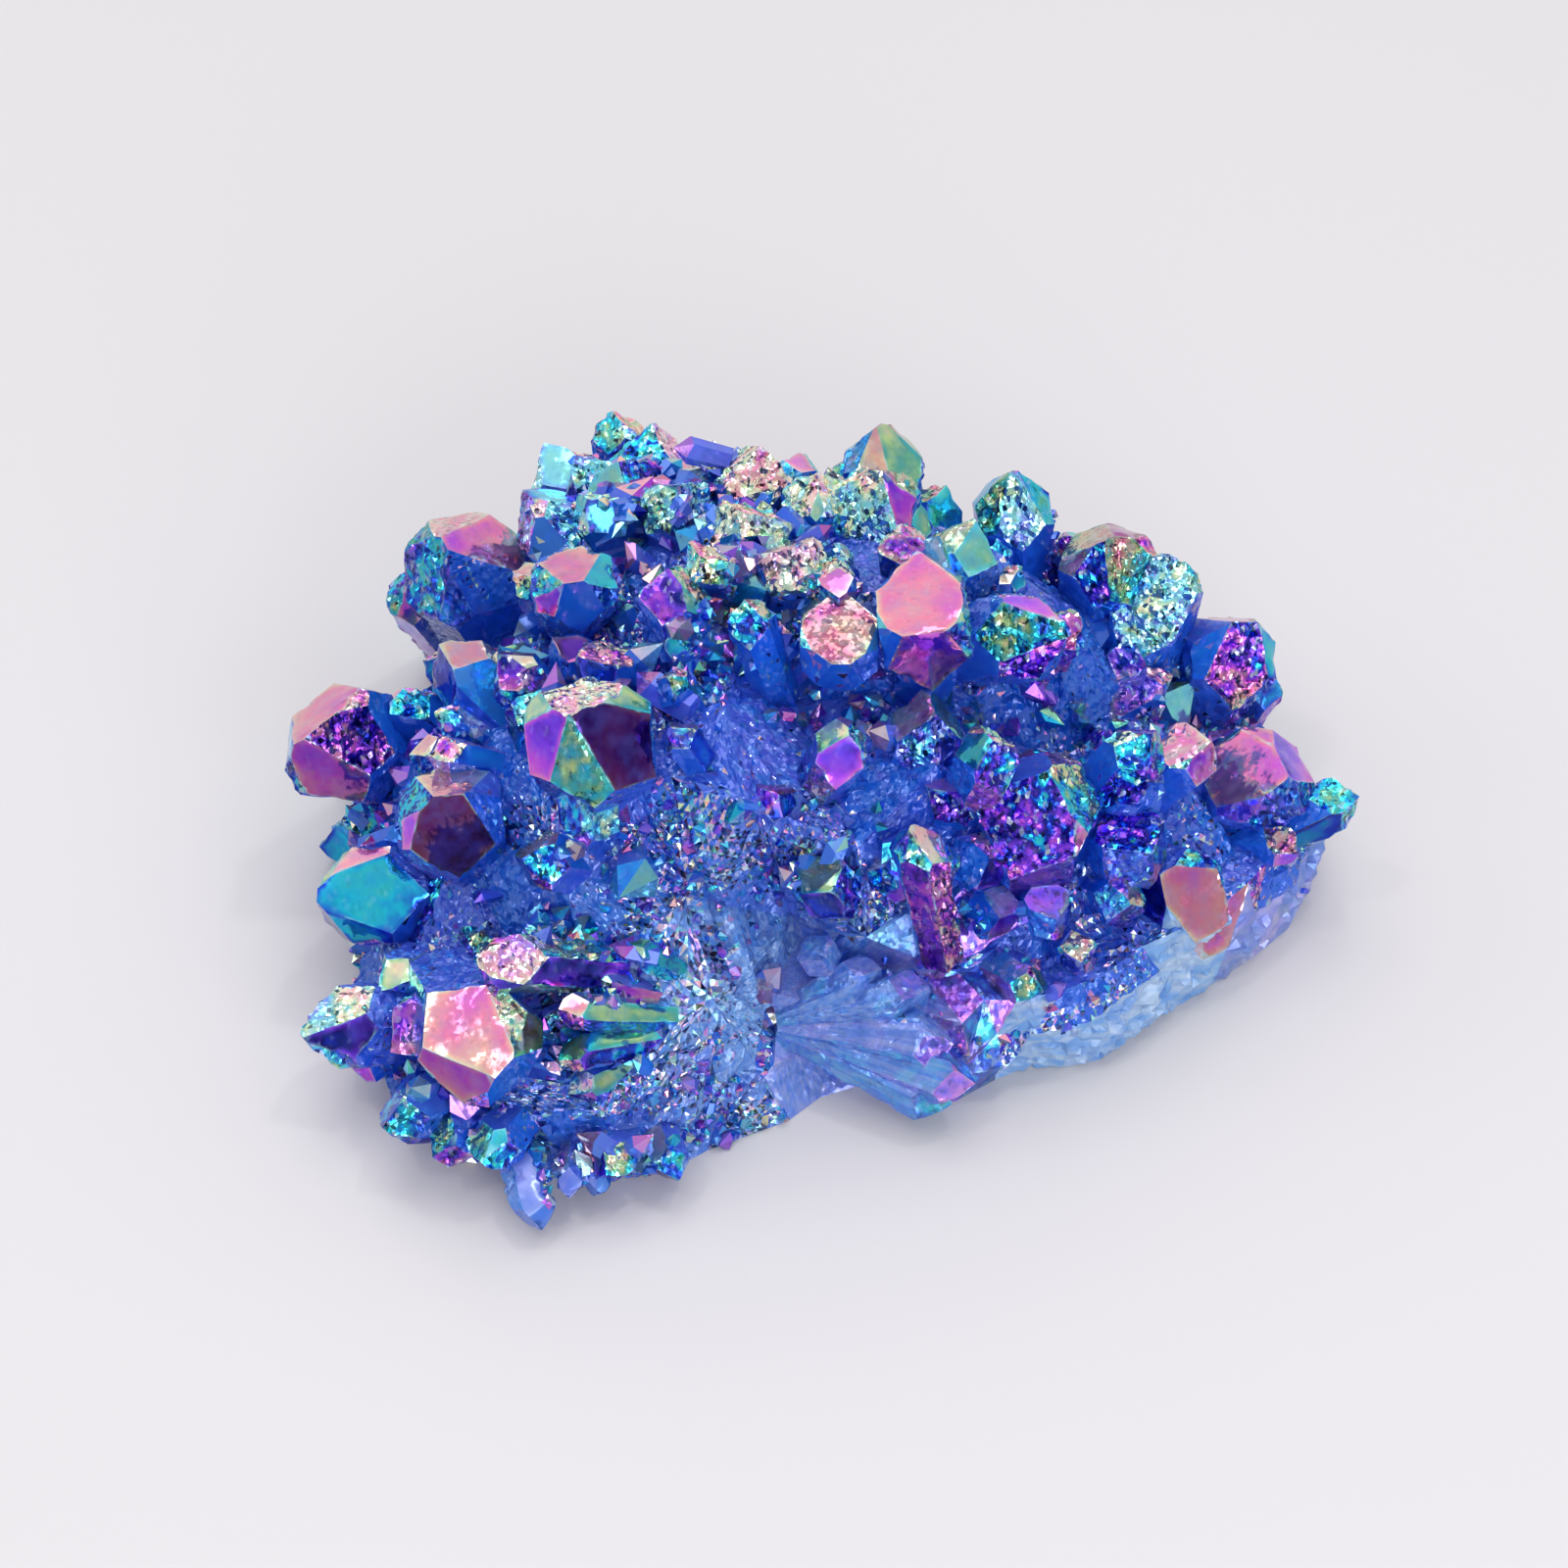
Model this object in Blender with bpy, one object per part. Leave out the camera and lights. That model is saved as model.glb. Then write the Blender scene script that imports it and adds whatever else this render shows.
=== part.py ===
"""Aqua aura quartz cluster: sprays of quartz points on a crust of broken quartz.

The specimen grew as one piece, so it is one solid. Its points stand on a low dome
that rises from a crust, and the crust is broken off flat where the specimen rests.
Row frame: +Z up, +X to the right, -Y to the front, origin at the middle of the base.
"""
import math
import random

import bmesh
import bpy
from mathutils import Matrix, Vector

MM = 0.001
NODE = "quartz_cluster"

# The crystal's habit. A quartz point is a six-sided prism under six sloping faces,
# and three of those, the rhomb faces, are usually larger than the other three.
FACE_SLOPE = math.radians(38.2)     # from a sloping face to the long axis
LEAD_DROP = 0.08                    # how much deeper the largest face cuts, in widths
LEAD_SPREAD = (0.2, 2.4)            # this and the next as shares of the drop and the rise
MINOR_SPREAD = (0.5, 1.5)
MINOR_RISE = 0.14                   # how much higher the three small faces sit, in widths
RHOMB_SPREAD = (-0.03, 0.05)        # how much the other two differ, in widths
FLAT_TO_CORNER = math.radians(30)   # turns the prism so that its first side faces ahead
ROOT_TAPER = 0.78                   # width at the root over the width at the shoulder
SLENDERNESS = 3.0                   # length over width
SHORTEST = 9.0 * MM                 # enough for every point to reach the body
LONGEST = 26.0 * MM
FLATNESS = (0.80, 1.0)              # a point is often thinner across one way

# The body that carries the points. Its skin lies a little below the tips, and it sinks
# in the clefts between the lobes.
BODY_CENTRE = Vector((-1.0, 2.0, -2.0)) * MM
SINK_SHARE = 0.58                   # how far the skin lies below a tip, in widths of the point
SINK_MORE = 0.8 * MM
LEAST_REACH = 8.0 * MM
MIDDLE_REACH = 30.0                 # in mm, the usual reach of the skin
BLEND = 0.014                       # how wide one tip lifts the skin, as 1 minus a cosine
CLEFTS = [
    # half width and depth in mm, then points along the cleft
    (3.6, 7.0, [(-24, 15, 8), (-16.5, 10, 14), (-9, 4.5, 20), (1, -0.5, 21), (11.5, 0, 20),
                (19, 2.5, 17), (26, 6, 14), (33, 8.5, 11)]),
    (3.0, 6.5, [(-4, -18, -1), (-4, -14, 5), (-3, -12, 11), (-1.5, -8.5, 15), (2, -4, 19),
                (3, 0, 20)]),
    (2.6, 4.5, [(-30, -10, 8), (-26, -14, 12), (-21, -13, 13)]),
    (2.4, 3.5, [(9.5, -11, 10), (12, -10.5, 12), (17, -8.5, 13)]),
    (6.5, 4.5, [(-10, -11.5, 13), (-3.5, -13.5, 3), (4, -16.5, 5)]),
    (6.0, 9.0, [(-3.5, -20, -10), (-4.0, -20, 2)]),
]
BODY_DETAIL = 3                     # subdivisions of the icosphere that it starts from
BODY_ROUGHNESS = 0.025              # of the skin's reach

# The edge of the crust in plan, in mm, anticlockwise from the front notch.
CRUST_EDGE = [
    (-4.0, -15.0), (2.0, -17.5), (10.5, -18.5), (15.5, -16.0), (21.5, -14.5), (25.5, -11.0),
    (30.0, -8.0), (36.0, -2.0), (38.5, 4.0), (35.0, 13.0), (28.0, 21.0), (17.0, 27.0),
    (2.0, 29.5), (-13.0, 30.5), (-25.0, 28.9), (-28.0, 20.5), (-28.5, 8.1), (-30.0, -8.0),
    (-28.5, -17.0), (-23.0, -23.0), (-15.0, -25.5), (-9.0, -22.5),
]
CRUST_STEP = 3.6 * MM               # between the corners of its broken face
CRUST_ROUGHNESS = 0.55 * MM
CRUST_PROFILE = [
    # height in mm and share of the edge's reach, from the root up
    (-12.0, 0.90), (0.0, 0.96), (2.6, 0.985), (5.2, 0.975), (8.0, 0.92),
]
CRUST_MIDDLE = 8.0 * MM

# The large points: tip x, y, z and width in mm, then the way the point leans, as an
# azimuth from +X and an elevation, and the turn of its largest face away from the sky,
# in degrees. The most regular points then have how high each of their six sloping faces
# sits, in widths, in turn from the largest, and how thick the point is across its width.
LEFT_SPRAY = [
    (-16.0, -8.5, 30.0, 10.4, -105, 65, -105,
     (-0.08, 0.08, 0.00, 0.15, 0.06, -0.02), 0.95),
    (-36.5, 1.5, 17.0, 10.0, -130, 45, -130,
     (-0.02, -0.02, 0.12, -0.08, 0.04, 0.14), 0.95),
    (-25.5, -8.0, 21.0, 9.0, -95, 65, -170,
     (-0.10, 0.08, 0.14, -0.04, 0.04, 0.10), 0.95),
    (-34.5, -9.0, 12.0, 8.6, -145, 35, -50,
     (-0.14, 0.06, 0.10, 0.10, 0.10, 0.03), 0.95),
    (-27.0, -3.0, 20.0, 3.5, -165, 30, 0),
    (-35.5, -18.0, 8.0, 7.0, -155, 20, 10,
     (-0.08, 0.10, 0.10, 0.10, 0.10, -0.02), 0.95),
    (-21.5, -25.5, 14.0, 9.6, -70, 30, 35,
     (-0.15, -0.02, 0.15, 0.02, 0.10, 0.05), 0.95),
    (-22.5, -20.0, 18.0, 5.4, -150, 35, -35,
     (-0.14, 0.06, 0.10, 0.10, 0.10, 0.06), 0.80),
    (-30.0, -24.5, 6.0, 4.8, -140, 15, 60),
    (-26.5, -26.0, 4.5, 4.0, -135, 8, 30),
    (-23.0, -27.5, 5.5, 4.4, -115, 15, 160),
    (-19.0, -30.5, 1.6, 3.4, -75, -15, 90),
    (-17.0, -28.5, 3.0, 2.4, -90, 0, 0),
    (-15.0, -28.0, 2.4, 2.2, -85, 0, 90),
    (-9.5, -27.0, 3.0, 3.2, -70, 0, 0),
]
RIGHT_SPRAY = [
    (33.0, 0.0, 15.0, 9.2, -65, 55, 50,
     (-0.14, 0.06, 0.04, 0.12, 0.00, 0.06), 0.95),
    (39.0, 1.5, 11.0, 4.4, 5, 35, 0),
    (34.5, -3.0, 10.0, 3.6, -40, 30, 0),
    (15.5, -8.0, 23.0, 10.2, -85, 75, 150,
     (-0.14, 0.10, -0.02, 0.08, 0.00, 0.12), 0.90),
    (12.0, -7.5, 26.0, 5.4, -60, 70, 180),
    (2.0, -8.0, 27.0, 5.0, -60, 65, 150),
    (6.5, -11.5, 22.0, 4.4, 160, 80, 5,
     (-0.10, 0.06, 0.10, 0.10, 0.10, 0.00), 0.90),
    (23.5, -3.0, 22.0, 5.8, -10, 65, 180),
    (7.5, -13.5, 18.0, 6.8, -80, 30, -135,
     (-0.08, 0.06, 0.10, 0.06, 0.00, 0.00), 0.95),
    (4.5, -11.5, 18.0, 3.6, -120, 60, 180),
    (11.5, -10.5, 17.5, 5.0, -75, 50, 90),
    (24.5, -8.0, 12.0, 9.0, -115, 60, -90,
     (-0.10, 0.10, 0.10, 0.10, -0.02, 0.03), 0.95),
    (27.5, 0.5, 18.0, 5.4, -10, 60, 0),
    (23.0, -8.5, 16.5, 6.6, -60, 45, 0),
    (22.0, -11.0, 13.0, 4.8, -65, 35, 180),
    (12.5, -12.5, 13.5, 4.6, -80, 35, 90),
    (16.5, -12.5, 14.0, 4.8, -75, 40, 0),
    (10.0, -7.0, 21.0, 5.0, -70, 60, 0),
    (18.5, -13.5, 10.0, 3.4, -75, 25, 0),
]
BACK_SPRAY = [
    (-27.0, 18.0, 20.0, 11.0, -115, 65, -40,
     (-0.04, 0.04, 0.12, 0.00, 0.12, 0.02), 0.95),
    (-17.0, 7.0, 28.0, 7.4, -85, 60, 5,
     (-0.20, -0.02, 0.12, 0.08, 0.14, -0.04), 0.95),
    (-10.5, 6.5, 29.0, 6.4, 130, 78, 180),
    (-5.0, 2.0, 30.0, 4.2, 170, 75, -90),
    (-15.5, 32.5, 20.0, 5.4, 125, 60, 180),
    (-12.0, 28.5, 22.0, 8.6, 90, 72, 90),
    (-20.5, 31.0, 18.0, 6.4, 135, 50, 90),
    (-14.0, 22.5, 24.0, 7.4, 160, 80, 0),
    (-17.5, 25.5, 22.0, 5.8, 150, 65, 90),
    (-16.5, 18.5, 24.5, 5.0, -160, 70, 40),
    (-10.0, 18.5, 25.5, 6.6, -80, 80, 0),
    (-7.5, 24.5, 24.0, 3.2, 100, 67, 0),
    (-4.0, 22.5, 25.5, 6.8, 55, 75, 180),
    (0.0, 19.0, 26.5, 6.4, 90, 77, 180),
    (-5.0, 14.0, 27.8, 7.8, -115, 80, 0),
    (-8.0, 8.0, 29.0, 4.4, -120, 70, 0),
    (-1.5, 9.5, 28.6, 7.0, -65, 80, 0),
    (5.0, 26.0, 24.0, 6.8, 110, 85, 30,
     (-0.08, 0.08, 0.12, 0.10, 0.10, -0.02), 0.95),
    (4.0, 17.5, 27.0, 7.8, -125, 80, -160,
     (-0.14, 0.00, 0.12, 0.10, 0.10, 0.10), 0.90),
    (14.5, 22.0, 23.0, 7.0, 125, 85, -25,
     (-0.06, 0.04, 0.12, 0.10, 0.10, 0.00), 0.95),
    (21.5, 16.5, 22.0, 8.2, -95, 75, -135,
     (-0.06, 0.10, 0.02, -0.02, 0.12, 0.04), 0.95),
    (25.5, 15.5, 20.0, 8.6, 40, 80, 20,
     (-0.32, 0.06, 0.12, 0.10, 0.10, 0.06), 0.75),
    (31.5, 13.5, 16.0, 8.4, -35, 75, 135,
     (-0.10, 0.06, 0.10, 0.00, 0.10, 0.06), 0.95),
    (7.0, -1.5, 31.0, 10.5, -95, 40, 10,
     (-0.14, 0.10, 0.08, -0.04, 0.10, 0.10), 0.68),
    (1.5, -2.0, 29.0, 7.6, -90, 35, 0,
     (-0.18, 0.10, 0.08, 0.06, 0.10, 0.08), 0.85),
    (17.0, 2.0, 27.0, 7.6, -30, 35, 45,
     (-0.10, -0.02, 0.10, 0.10, 0.10, 0.04), 0.90),
]
BACK_FOOT = [
    (-25.0, 22.0, 9.0, 7.0, 140, 20, 0),
    (-18.5, 27.5, 10.0, 6.0, 120, 20, 0),
    (-10.0, 30.0, 11.0, 7.4, 100, 25, 180),
    (-2.5, 30.5, 8.0, 5.6, 95, 15, 0),
    (5.5, 30.0, 11.0, 7.0, 85, 20, 0),
    (14.0, 28.0, 9.0, 6.2, 75, 15, 180),
    (22.5, 24.5, 10.0, 7.4, 60, 25, 0),
    (29.0, 20.0, 7.0, 6.0, 40, 15, 0),
]
LARGE_POINTS = LEFT_SPRAY + RIGHT_SPRAY + BACK_SPRAY + BACK_FOOT

# A smaller twin grows against the side of each of the wider points.
TWIN_FROM = 6.0                     # the least width in mm of a point that has one
TWIN_WIDTH = (0.38, 0.55)           # these three in widths of the larger point
TWIN_OUT = 0.42
TWIN_DOWN = 0.55

# Long thin points fan out over both front lobes from the foot of the front cleft.
FAN_ROOT_MM = (-3.5, -14.6, 5.0)
FAN_ROOT = Vector(FAN_ROOT_MM) * MM
FAN_TAPER = 0.45
FAN = [
    # tip x, y, z and width in mm
    (-17.5, -21.0, 14.0, 3.0), (-17.5, -22.5, 11.0, 3.2), (-17.0, -23.5, 8.0, 3.2),
    (-15.5, -17.5, 13.0, 2.6), (-13.0, -15.5, 14.5, 2.6), (11.0, -20.0, 5.0, 5.4),
    (9.5, -20.0, 2.5, 5.0), (9.5, -18.5, 7.5, 5.2), (8.0, -16.0, 9.5, 5.0),
    (4.5, -14.5, 10.5, 4.4),
]
FAN_CLEARANCE = 3.4                 # in mm; no smaller point stands nearer to a blade
BARE_SLOPE = [
    # the paths from the root over which no smaller point stands, on the left lobe's slope
    [FAN_ROOT_MM, (-14.0, -11.5, 16.5)], [FAN_ROOT_MM, (-9.5, -8.0, 19.0)],
    [FAN_ROOT_MM, (-4.5, -8.5, 16.5)], [FAN_ROOT_MM, (-2.0, -10.0, 14.0)],
]

# The notch at the foot of the front cleft, cut as a tapering wedge.
NOTCH_PATH = [(-3.6, -24.0, 4.0), (-3.2, -11.0, 6.5)]
NOTCH_RADIUS = 3.0 * MM
NOTCH_SQUASH = 0.45                 # width over height
NOTCH_POINT = 0.15                  # radius at the inner end over the radius at the mouth

# The block of space under the base, which cuts the specimen off flat.
BLOCK_SIDE = 200.0 * MM
BLOCK_DEPTH = 100.0 * MM

# Smaller points grow in every gap, from one seeded draw for each size.
GAP_POINTS = [
    # count, width in mm, how far they stand out in widths, spacing from other tips in widths
    (40, (4.8, 7.0), (0.5, 0.8), 0.80),
    (36, (3.2, 4.6), (0.5, 0.9), 0.85),
]
LEAN_SPREAD = 0.25                  # how far they lean from straight out, as a slope
TRIES = 40                          # draws for each point before the gaps count as full
DEEPEST_ROOT = 3.0                  # in mm; no smaller point stands deeper in a cleft
LOWEST_TIP = 2.0 * MM
LOWEST_RISE = 0.06                  # sine of the lowest elevation from the body's centre
SEED = 7
BROKEN_SIDE = (-75, 12)             # azimuths where the crust is broken and bare, in degrees
BROKEN_TOP = 8.5 * MM
BACK_LIMIT = 30.0 * MM


def clear_scene():
    for old in list(bpy.data.objects):
        bpy.data.objects.remove(old)


def quartz_material():
    """Blue coated quartz: glassy, with the thin metal coat's shine."""
    material = bpy.data.materials.new("aqua_aura_quartz")
    material.use_nodes = True
    shader = material.node_tree.nodes["Principled BSDF"]
    shader.inputs["Base Color"].default_value = (0.06, 0.16, 0.68, 1.0)
    shader.inputs["Roughness"].default_value = 0.18
    shader.inputs["Metallic"].default_value = 0.5
    return material


def cut_above(shape, point, normal):
    """Cuts away what lies beyond a plane and closes the cut with one flat face."""
    geometry = shape.verts[:] + shape.edges[:] + shape.faces[:]
    cut = bmesh.ops.bisect_plane(
        shape, geom=geometry, plane_co=point, plane_no=normal, clear_outer=True)
    rim = [item for item in cut["geom_cut"] if isinstance(item, bmesh.types.BMEdge)]
    if rim:
        bmesh.ops.edgeloop_fill(shape, edges=rim)


def point_axes(azimuth, elevation, turn):
    """The frame of a point: its long axis, and the side that faces the sky, turned."""
    axis = Vector((math.cos(azimuth) * math.cos(elevation),
                   math.sin(azimuth) * math.cos(elevation), math.sin(elevation)))
    skyward = Vector((0.0, 0.0, 1.0))
    skyward = (skyward - axis * skyward.dot(axis)).normalized()
    skyward.rotate(Matrix.Rotation(turn, 3, axis))
    return Matrix((skyward, axis.cross(skyward), axis)).transposed()


def grow_point(pile, tip, width, azimuth, elevation, turn, dice, heights=None, flatness=None,
               length=None, taper=ROOT_TAPER):
    """Adds one quartz point to the pile as a closed convex body with its tip in place.

    The draws are made for every point, so one that is given its own faces leaves the
    points after it as they were.
    """
    length = length or min(max(SLENDERNESS * width, SHORTEST), LONGEST)
    radius = width / 2
    shape = bmesh.new()
    bmesh.ops.create_cone(
        shape, cap_ends=True, segments=6, radius1=radius * taper, radius2=radius,
        depth=length, matrix=Matrix.Rotation(FLAT_TO_CORNER, 4, "Z")
        @ Matrix.Translation((0, 0, -length / 2)))
    drawn = dice.uniform(*FLATNESS)
    bmesh.ops.scale(shape, verts=shape.verts, vec=(1.0, flatness or drawn, 1.0))
    for face in range(6):
        around = math.radians(60 * face)
        is_rhomb = face % 2 == 0
        rise = dice.uniform(*RHOMB_SPREAD) if is_rhomb else MINOR_RISE * dice.uniform(*MINOR_SPREAD)
        if face == 0:
            rise = -LEAD_DROP * dice.uniform(*LEAD_SPREAD)
        if heights:
            rise = heights[face]
        normal = Vector((math.cos(around) * math.cos(FACE_SLOPE),
                         math.sin(around) * math.cos(FACE_SLOPE), math.sin(FACE_SLOPE)))
        cut_above(shape, Vector((0, 0, width * rise)), normal)
    top = max(vertex.co.z for vertex in shape.verts)
    frame = point_axes(azimuth, elevation, turn)
    place = Matrix.Translation(tip) @ frame.to_4x4() @ Matrix.Translation((0, 0, -top))
    bmesh.ops.transform(shape, matrix=place, verts=shape.verts)
    bmesh.ops.recalc_face_normals(shape, faces=shape.faces)
    pile.append(shape)


def large_points(pile, dice):
    """The hand-placed points, each with a smaller one grown against its side."""
    tips = []
    for x, y, z, width, azimuth, elevation, turn, *own_faces in LARGE_POINTS:
        tip = Vector((x, y, z)) * MM
        lean = [math.radians(angle) for angle in (azimuth, elevation, turn)]
        grow_point(pile, tip, width * MM, *lean, dice, *own_faces)
        tips.append((tip, width * MM))
        if width < TWIN_FROM:
            continue
        side = point_axes(*lean) @ Matrix.Rotation(dice.uniform(0, math.tau), 3, "Z")
        twin_width = width * dice.uniform(*TWIN_WIDTH) * MM
        twin_tip = tip + (side.col[0] * TWIN_OUT - side.col[2] * TWIN_DOWN) * width * MM
        grow_point(pile, twin_tip, twin_width, *lean, dice)
        tips.append((twin_tip, twin_width))
    return tips


def off_path(outward, path):
    """How far a direction passes from a path in mm, both seen from the body's centre."""
    nearest = math.inf
    ways = [(Vector(point) * MM - BODY_CENTRE).normalized() for point in path]
    for start, end in zip(ways, ways[1:]):
        along = end - start
        share = min(1.0, max(0.0, (outward - start).dot(along) / along.length_squared))
        nearest = min(nearest, (outward - start - along * share).length)
    return nearest * MIDDLE_REACH


def cleft_depth(outward):
    """How deep the clefts cut the skin in one direction from the body's centre, in mm."""
    depth = 0.0
    for half_width, full_depth, path in CLEFTS:
        away = off_path(outward, path) / half_width
        depth = max(depth, full_depth * math.exp(-away * away))
    return depth


def skin_reach(outward, tips):
    """How far the skin lies from the body's centre in one direction."""
    total, reach = 1e-9, 0.0
    for tip, width in tips:
        radial = tip - BODY_CENTRE
        weight = math.exp((outward.dot(radial.normalized()) - 1.0) / BLEND)
        total += weight
        reach += weight * (radial.length - SINK_SHARE * width - SINK_MORE)
    return max(reach / total, LEAST_REACH) - cleft_depth(outward) * MM


def body_under(pile, tips, dice):
    """The lumpy body under the points."""
    shape = bmesh.new()
    bmesh.ops.create_icosphere(shape, subdivisions=BODY_DETAIL, radius=1.0)
    for vertex in shape.verts:
        outward = vertex.co.normalized()
        reach = skin_reach(outward, tips) * (1.0 + dice.uniform(-BODY_ROUGHNESS, BODY_ROUGHNESS))
        vertex.co = BODY_CENTRE + outward * reach
    pile.append(shape)


def gap_points(pile, tips, dice):
    """Smaller points over the whole body, wherever no tip stands yet."""
    carriers = list(tips)
    for count, widths, stands, spacing in GAP_POINTS:
        grown = 0
        for _ in range(count * TRIES):
            if grown == count:
                break
            azimuth = dice.uniform(-math.pi, math.pi)
            rise = dice.uniform(LOWEST_RISE, 1.0)
            level = math.sqrt(1 - rise * rise)
            outward = Vector((level * math.cos(azimuth), level * math.sin(azimuth), rise))
            width = dice.uniform(*widths) * MM
            reach = skin_reach(outward, carriers) + dice.uniform(*stands) * width
            tip = BODY_CENTRE + outward * reach
            broken = BROKEN_SIDE[0] < math.degrees(azimuth) < BROKEN_SIDE[1]
            if tip.z < (BROKEN_TOP if broken else LOWEST_TIP) or tip.y > BACK_LIMIT:
                continue
            blades = [[FAN_ROOT_MM, row[:3]] for row in FAN]
            empty_paths = [NOTCH_PATH] + BARE_SLOPE + blades
            if any(off_path(outward, path) < FAN_CLEARANCE for path in empty_paths):
                continue
            if cleft_depth(outward) > DEEPEST_ROOT:
                continue
            if any((tip - other).length < spacing * (width + wide) / 2 for other, wide in tips):
                continue
            spread = Vector([dice.uniform(-LEAN_SPREAD, LEAN_SPREAD) for _ in range(3)])
            lean = (outward + spread).normalized()
            grow_point(pile, tip, width, math.atan2(lean.y, lean.x), math.asin(lean.z),
                       dice.uniform(0, math.tau), dice)
            tips.append((tip, width))
            grown += 1


def fan(pile, dice):
    """Long thin points that spread from one root, half sunk in the lobes."""
    tips = []
    for x, y, z, width in FAN:
        tip = Vector((x, y, z)) * MM
        along = tip - FAN_ROOT
        lean = math.atan2(along.y, along.x), math.asin(along.z / along.length)
        grow_point(pile, tip, width * MM, *lean, dice.uniform(0, math.tau), dice,
                   length=along.length, taper=FAN_TAPER)
        tips.append((tip, width * MM))
    return tips


def notch():
    """The wedge of empty space in the front notch, thin and high."""
    wedge = bmesh.new()
    mouth, end = [Vector(point) * MM for point in NOTCH_PATH]
    along = end - mouth
    bmesh.ops.create_cone(wedge, cap_ends=True, segments=6, radius1=NOTCH_RADIUS,
                          radius2=NOTCH_RADIUS * NOTCH_POINT, depth=along.length)
    bmesh.ops.scale(wedge, verts=wedge.verts, vec=(1.0, NOTCH_SQUASH, 1.0))
    frame = point_axes(math.atan2(along.y, along.x), math.asin(along.z / along.length), 0.0)
    place = Matrix.Translation((mouth + end) / 2) @ frame.to_4x4()
    bmesh.ops.transform(wedge, matrix=place, verts=wedge.verts)
    return wedge


def block_below():
    block = bmesh.new()
    size = Matrix.Diagonal((BLOCK_SIDE, BLOCK_SIDE, BLOCK_DEPTH, 1.0))
    bmesh.ops.create_cube(block, size=1.0,
                          matrix=Matrix.Translation((0, 0, -BLOCK_DEPTH / 2)) @ size)
    return block


def crust_corners():
    """Corners along the broken edge, a step apart."""
    edge = [Vector((x, y, 0)) * MM for x, y in CRUST_EDGE]
    corners = []
    for start, end in zip(edge, edge[1:] + edge[:1]):
        steps = max(1, round((end - start).length / CRUST_STEP))
        corners += [start.lerp(end, step / steps) for step in range(steps)]
    return corners


def crust(pile, dice):
    """The broken plate under the body, faceted where it snapped."""
    shape = bmesh.new()
    corners = crust_corners()
    rings = []
    for height, share in CRUST_PROFILE:
        ring = []
        for corner in corners:
            rough = Vector([dice.uniform(-1, 1) for _ in range(3)]) * CRUST_ROUGHNESS
            ring.append(shape.verts.new(corner * share + Vector((0, 0, height * MM)) + rough))
        rings.append(ring)
    for lower, upper in zip(rings, rings[1:]):
        for here in range(len(corners)):
            after = (here + 1) % len(corners)
            shape.faces.new((lower[here], lower[after], upper[after]))
            shape.faces.new((lower[here], upper[after], upper[here]))
    middle = shape.verts.new((0, 0, CRUST_MIDDLE))
    for here, after in zip(rings[-1], rings[-1][1:] + rings[-1][:1]):
        shape.faces.new((here, after, middle))
    shape.faces.new(reversed(rings[0]))
    pile.append(shape)


def object_from(shape, name, collection):
    mesh = bpy.data.meshes.new(name)
    shape.to_mesh(mesh)
    shape.free()
    made = bpy.data.objects.new(name, mesh)
    collection.objects.link(made)
    return made


def join_all(pile, kept, helpers):
    """One solid from the whole pile, cut off flat at the base."""
    body = object_from(pile[0], "grown_body", helpers)
    grown = bpy.data.collections.new("grown_points")
    helpers.children.link(grown)
    for number, shape in enumerate(pile[1:]):
        object_from(shape, "grown_%03d" % number, grown)
    union = body.modifiers.new("grow_together", "BOOLEAN")
    union.operation = "UNION"
    union.operand_type = "COLLECTION"
    union.collection = grown
    for name, cutter in (("flat_base", block_below()), ("front_notch", notch())):
        cut = body.modifiers.new(name, "BOOLEAN")
        cut.operation = "DIFFERENCE"
        cut.object = object_from(cutter, name + "_cutter", helpers)
    for helper in helpers.all_objects:
        helper.hide_render = True
        helper.display_type = "WIRE"
    return settle(body, kept)


def outer_skin(shape):
    """Drops the skins of pockets that are shut inside, so that the stone is solid."""
    left = set(shape.verts)
    skins = []
    while left:
        skin, front = set(), {left.pop()}
        while front:
            vertex = front.pop()
            skin.add(vertex)
            front |= {edge.other_vert(vertex) for edge in vertex.link_edges} - skin
        left -= skin
        skins.append(skin)
    skins.sort(key=len)
    for skin in skins[:-1]:
        bmesh.ops.delete(shape, geom=list(skin), context="VERTS")


def settle(body, kept):
    """The finished stone as one mesh, with the middle of its base at the origin."""
    bpy.context.view_layer.update()
    graph = bpy.context.evaluated_depsgraph_get()
    mesh = bpy.data.meshes.new_from_object(body.evaluated_get(graph))
    shape = bmesh.new()
    shape.from_mesh(mesh)
    outer_skin(shape)
    lowest, highest = (Vector([pick(vertex.co[i] for vertex in shape.verts) for i in range(3)])
                       for pick in (min, max))
    middle = (lowest + highest) / 2
    bmesh.ops.translate(shape, verts=shape.verts, vec=(-middle.x, -middle.y, -lowest.z))
    return object_from(shape, NODE, kept)


def main():
    clear_scene()
    kept = bpy.data.collections.new("aqua_aura_quartz_cluster")
    helpers = bpy.data.collections.new("before_growing_together")
    for collection in (kept, helpers):
        bpy.context.scene.collection.children.link(collection)
    dice = random.Random(SEED)
    pile = []
    crust(pile, dice)
    tips = large_points(pile, dice) + fan(pile, dice)
    body_under(pile, tips, dice)
    gap_points(pile, tips, dice)
    body = join_all(pile, kept, helpers)
    body.data.materials.append(quartz_material())
    return body


if __name__ == "__main__":
    main()
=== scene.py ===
import math

import bmesh
import bpy
import numpy as np
from mathutils import Matrix, Vector
from mathutils.bvhtree import BVHTree
from mathutils.kdtree import KDTree


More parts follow.
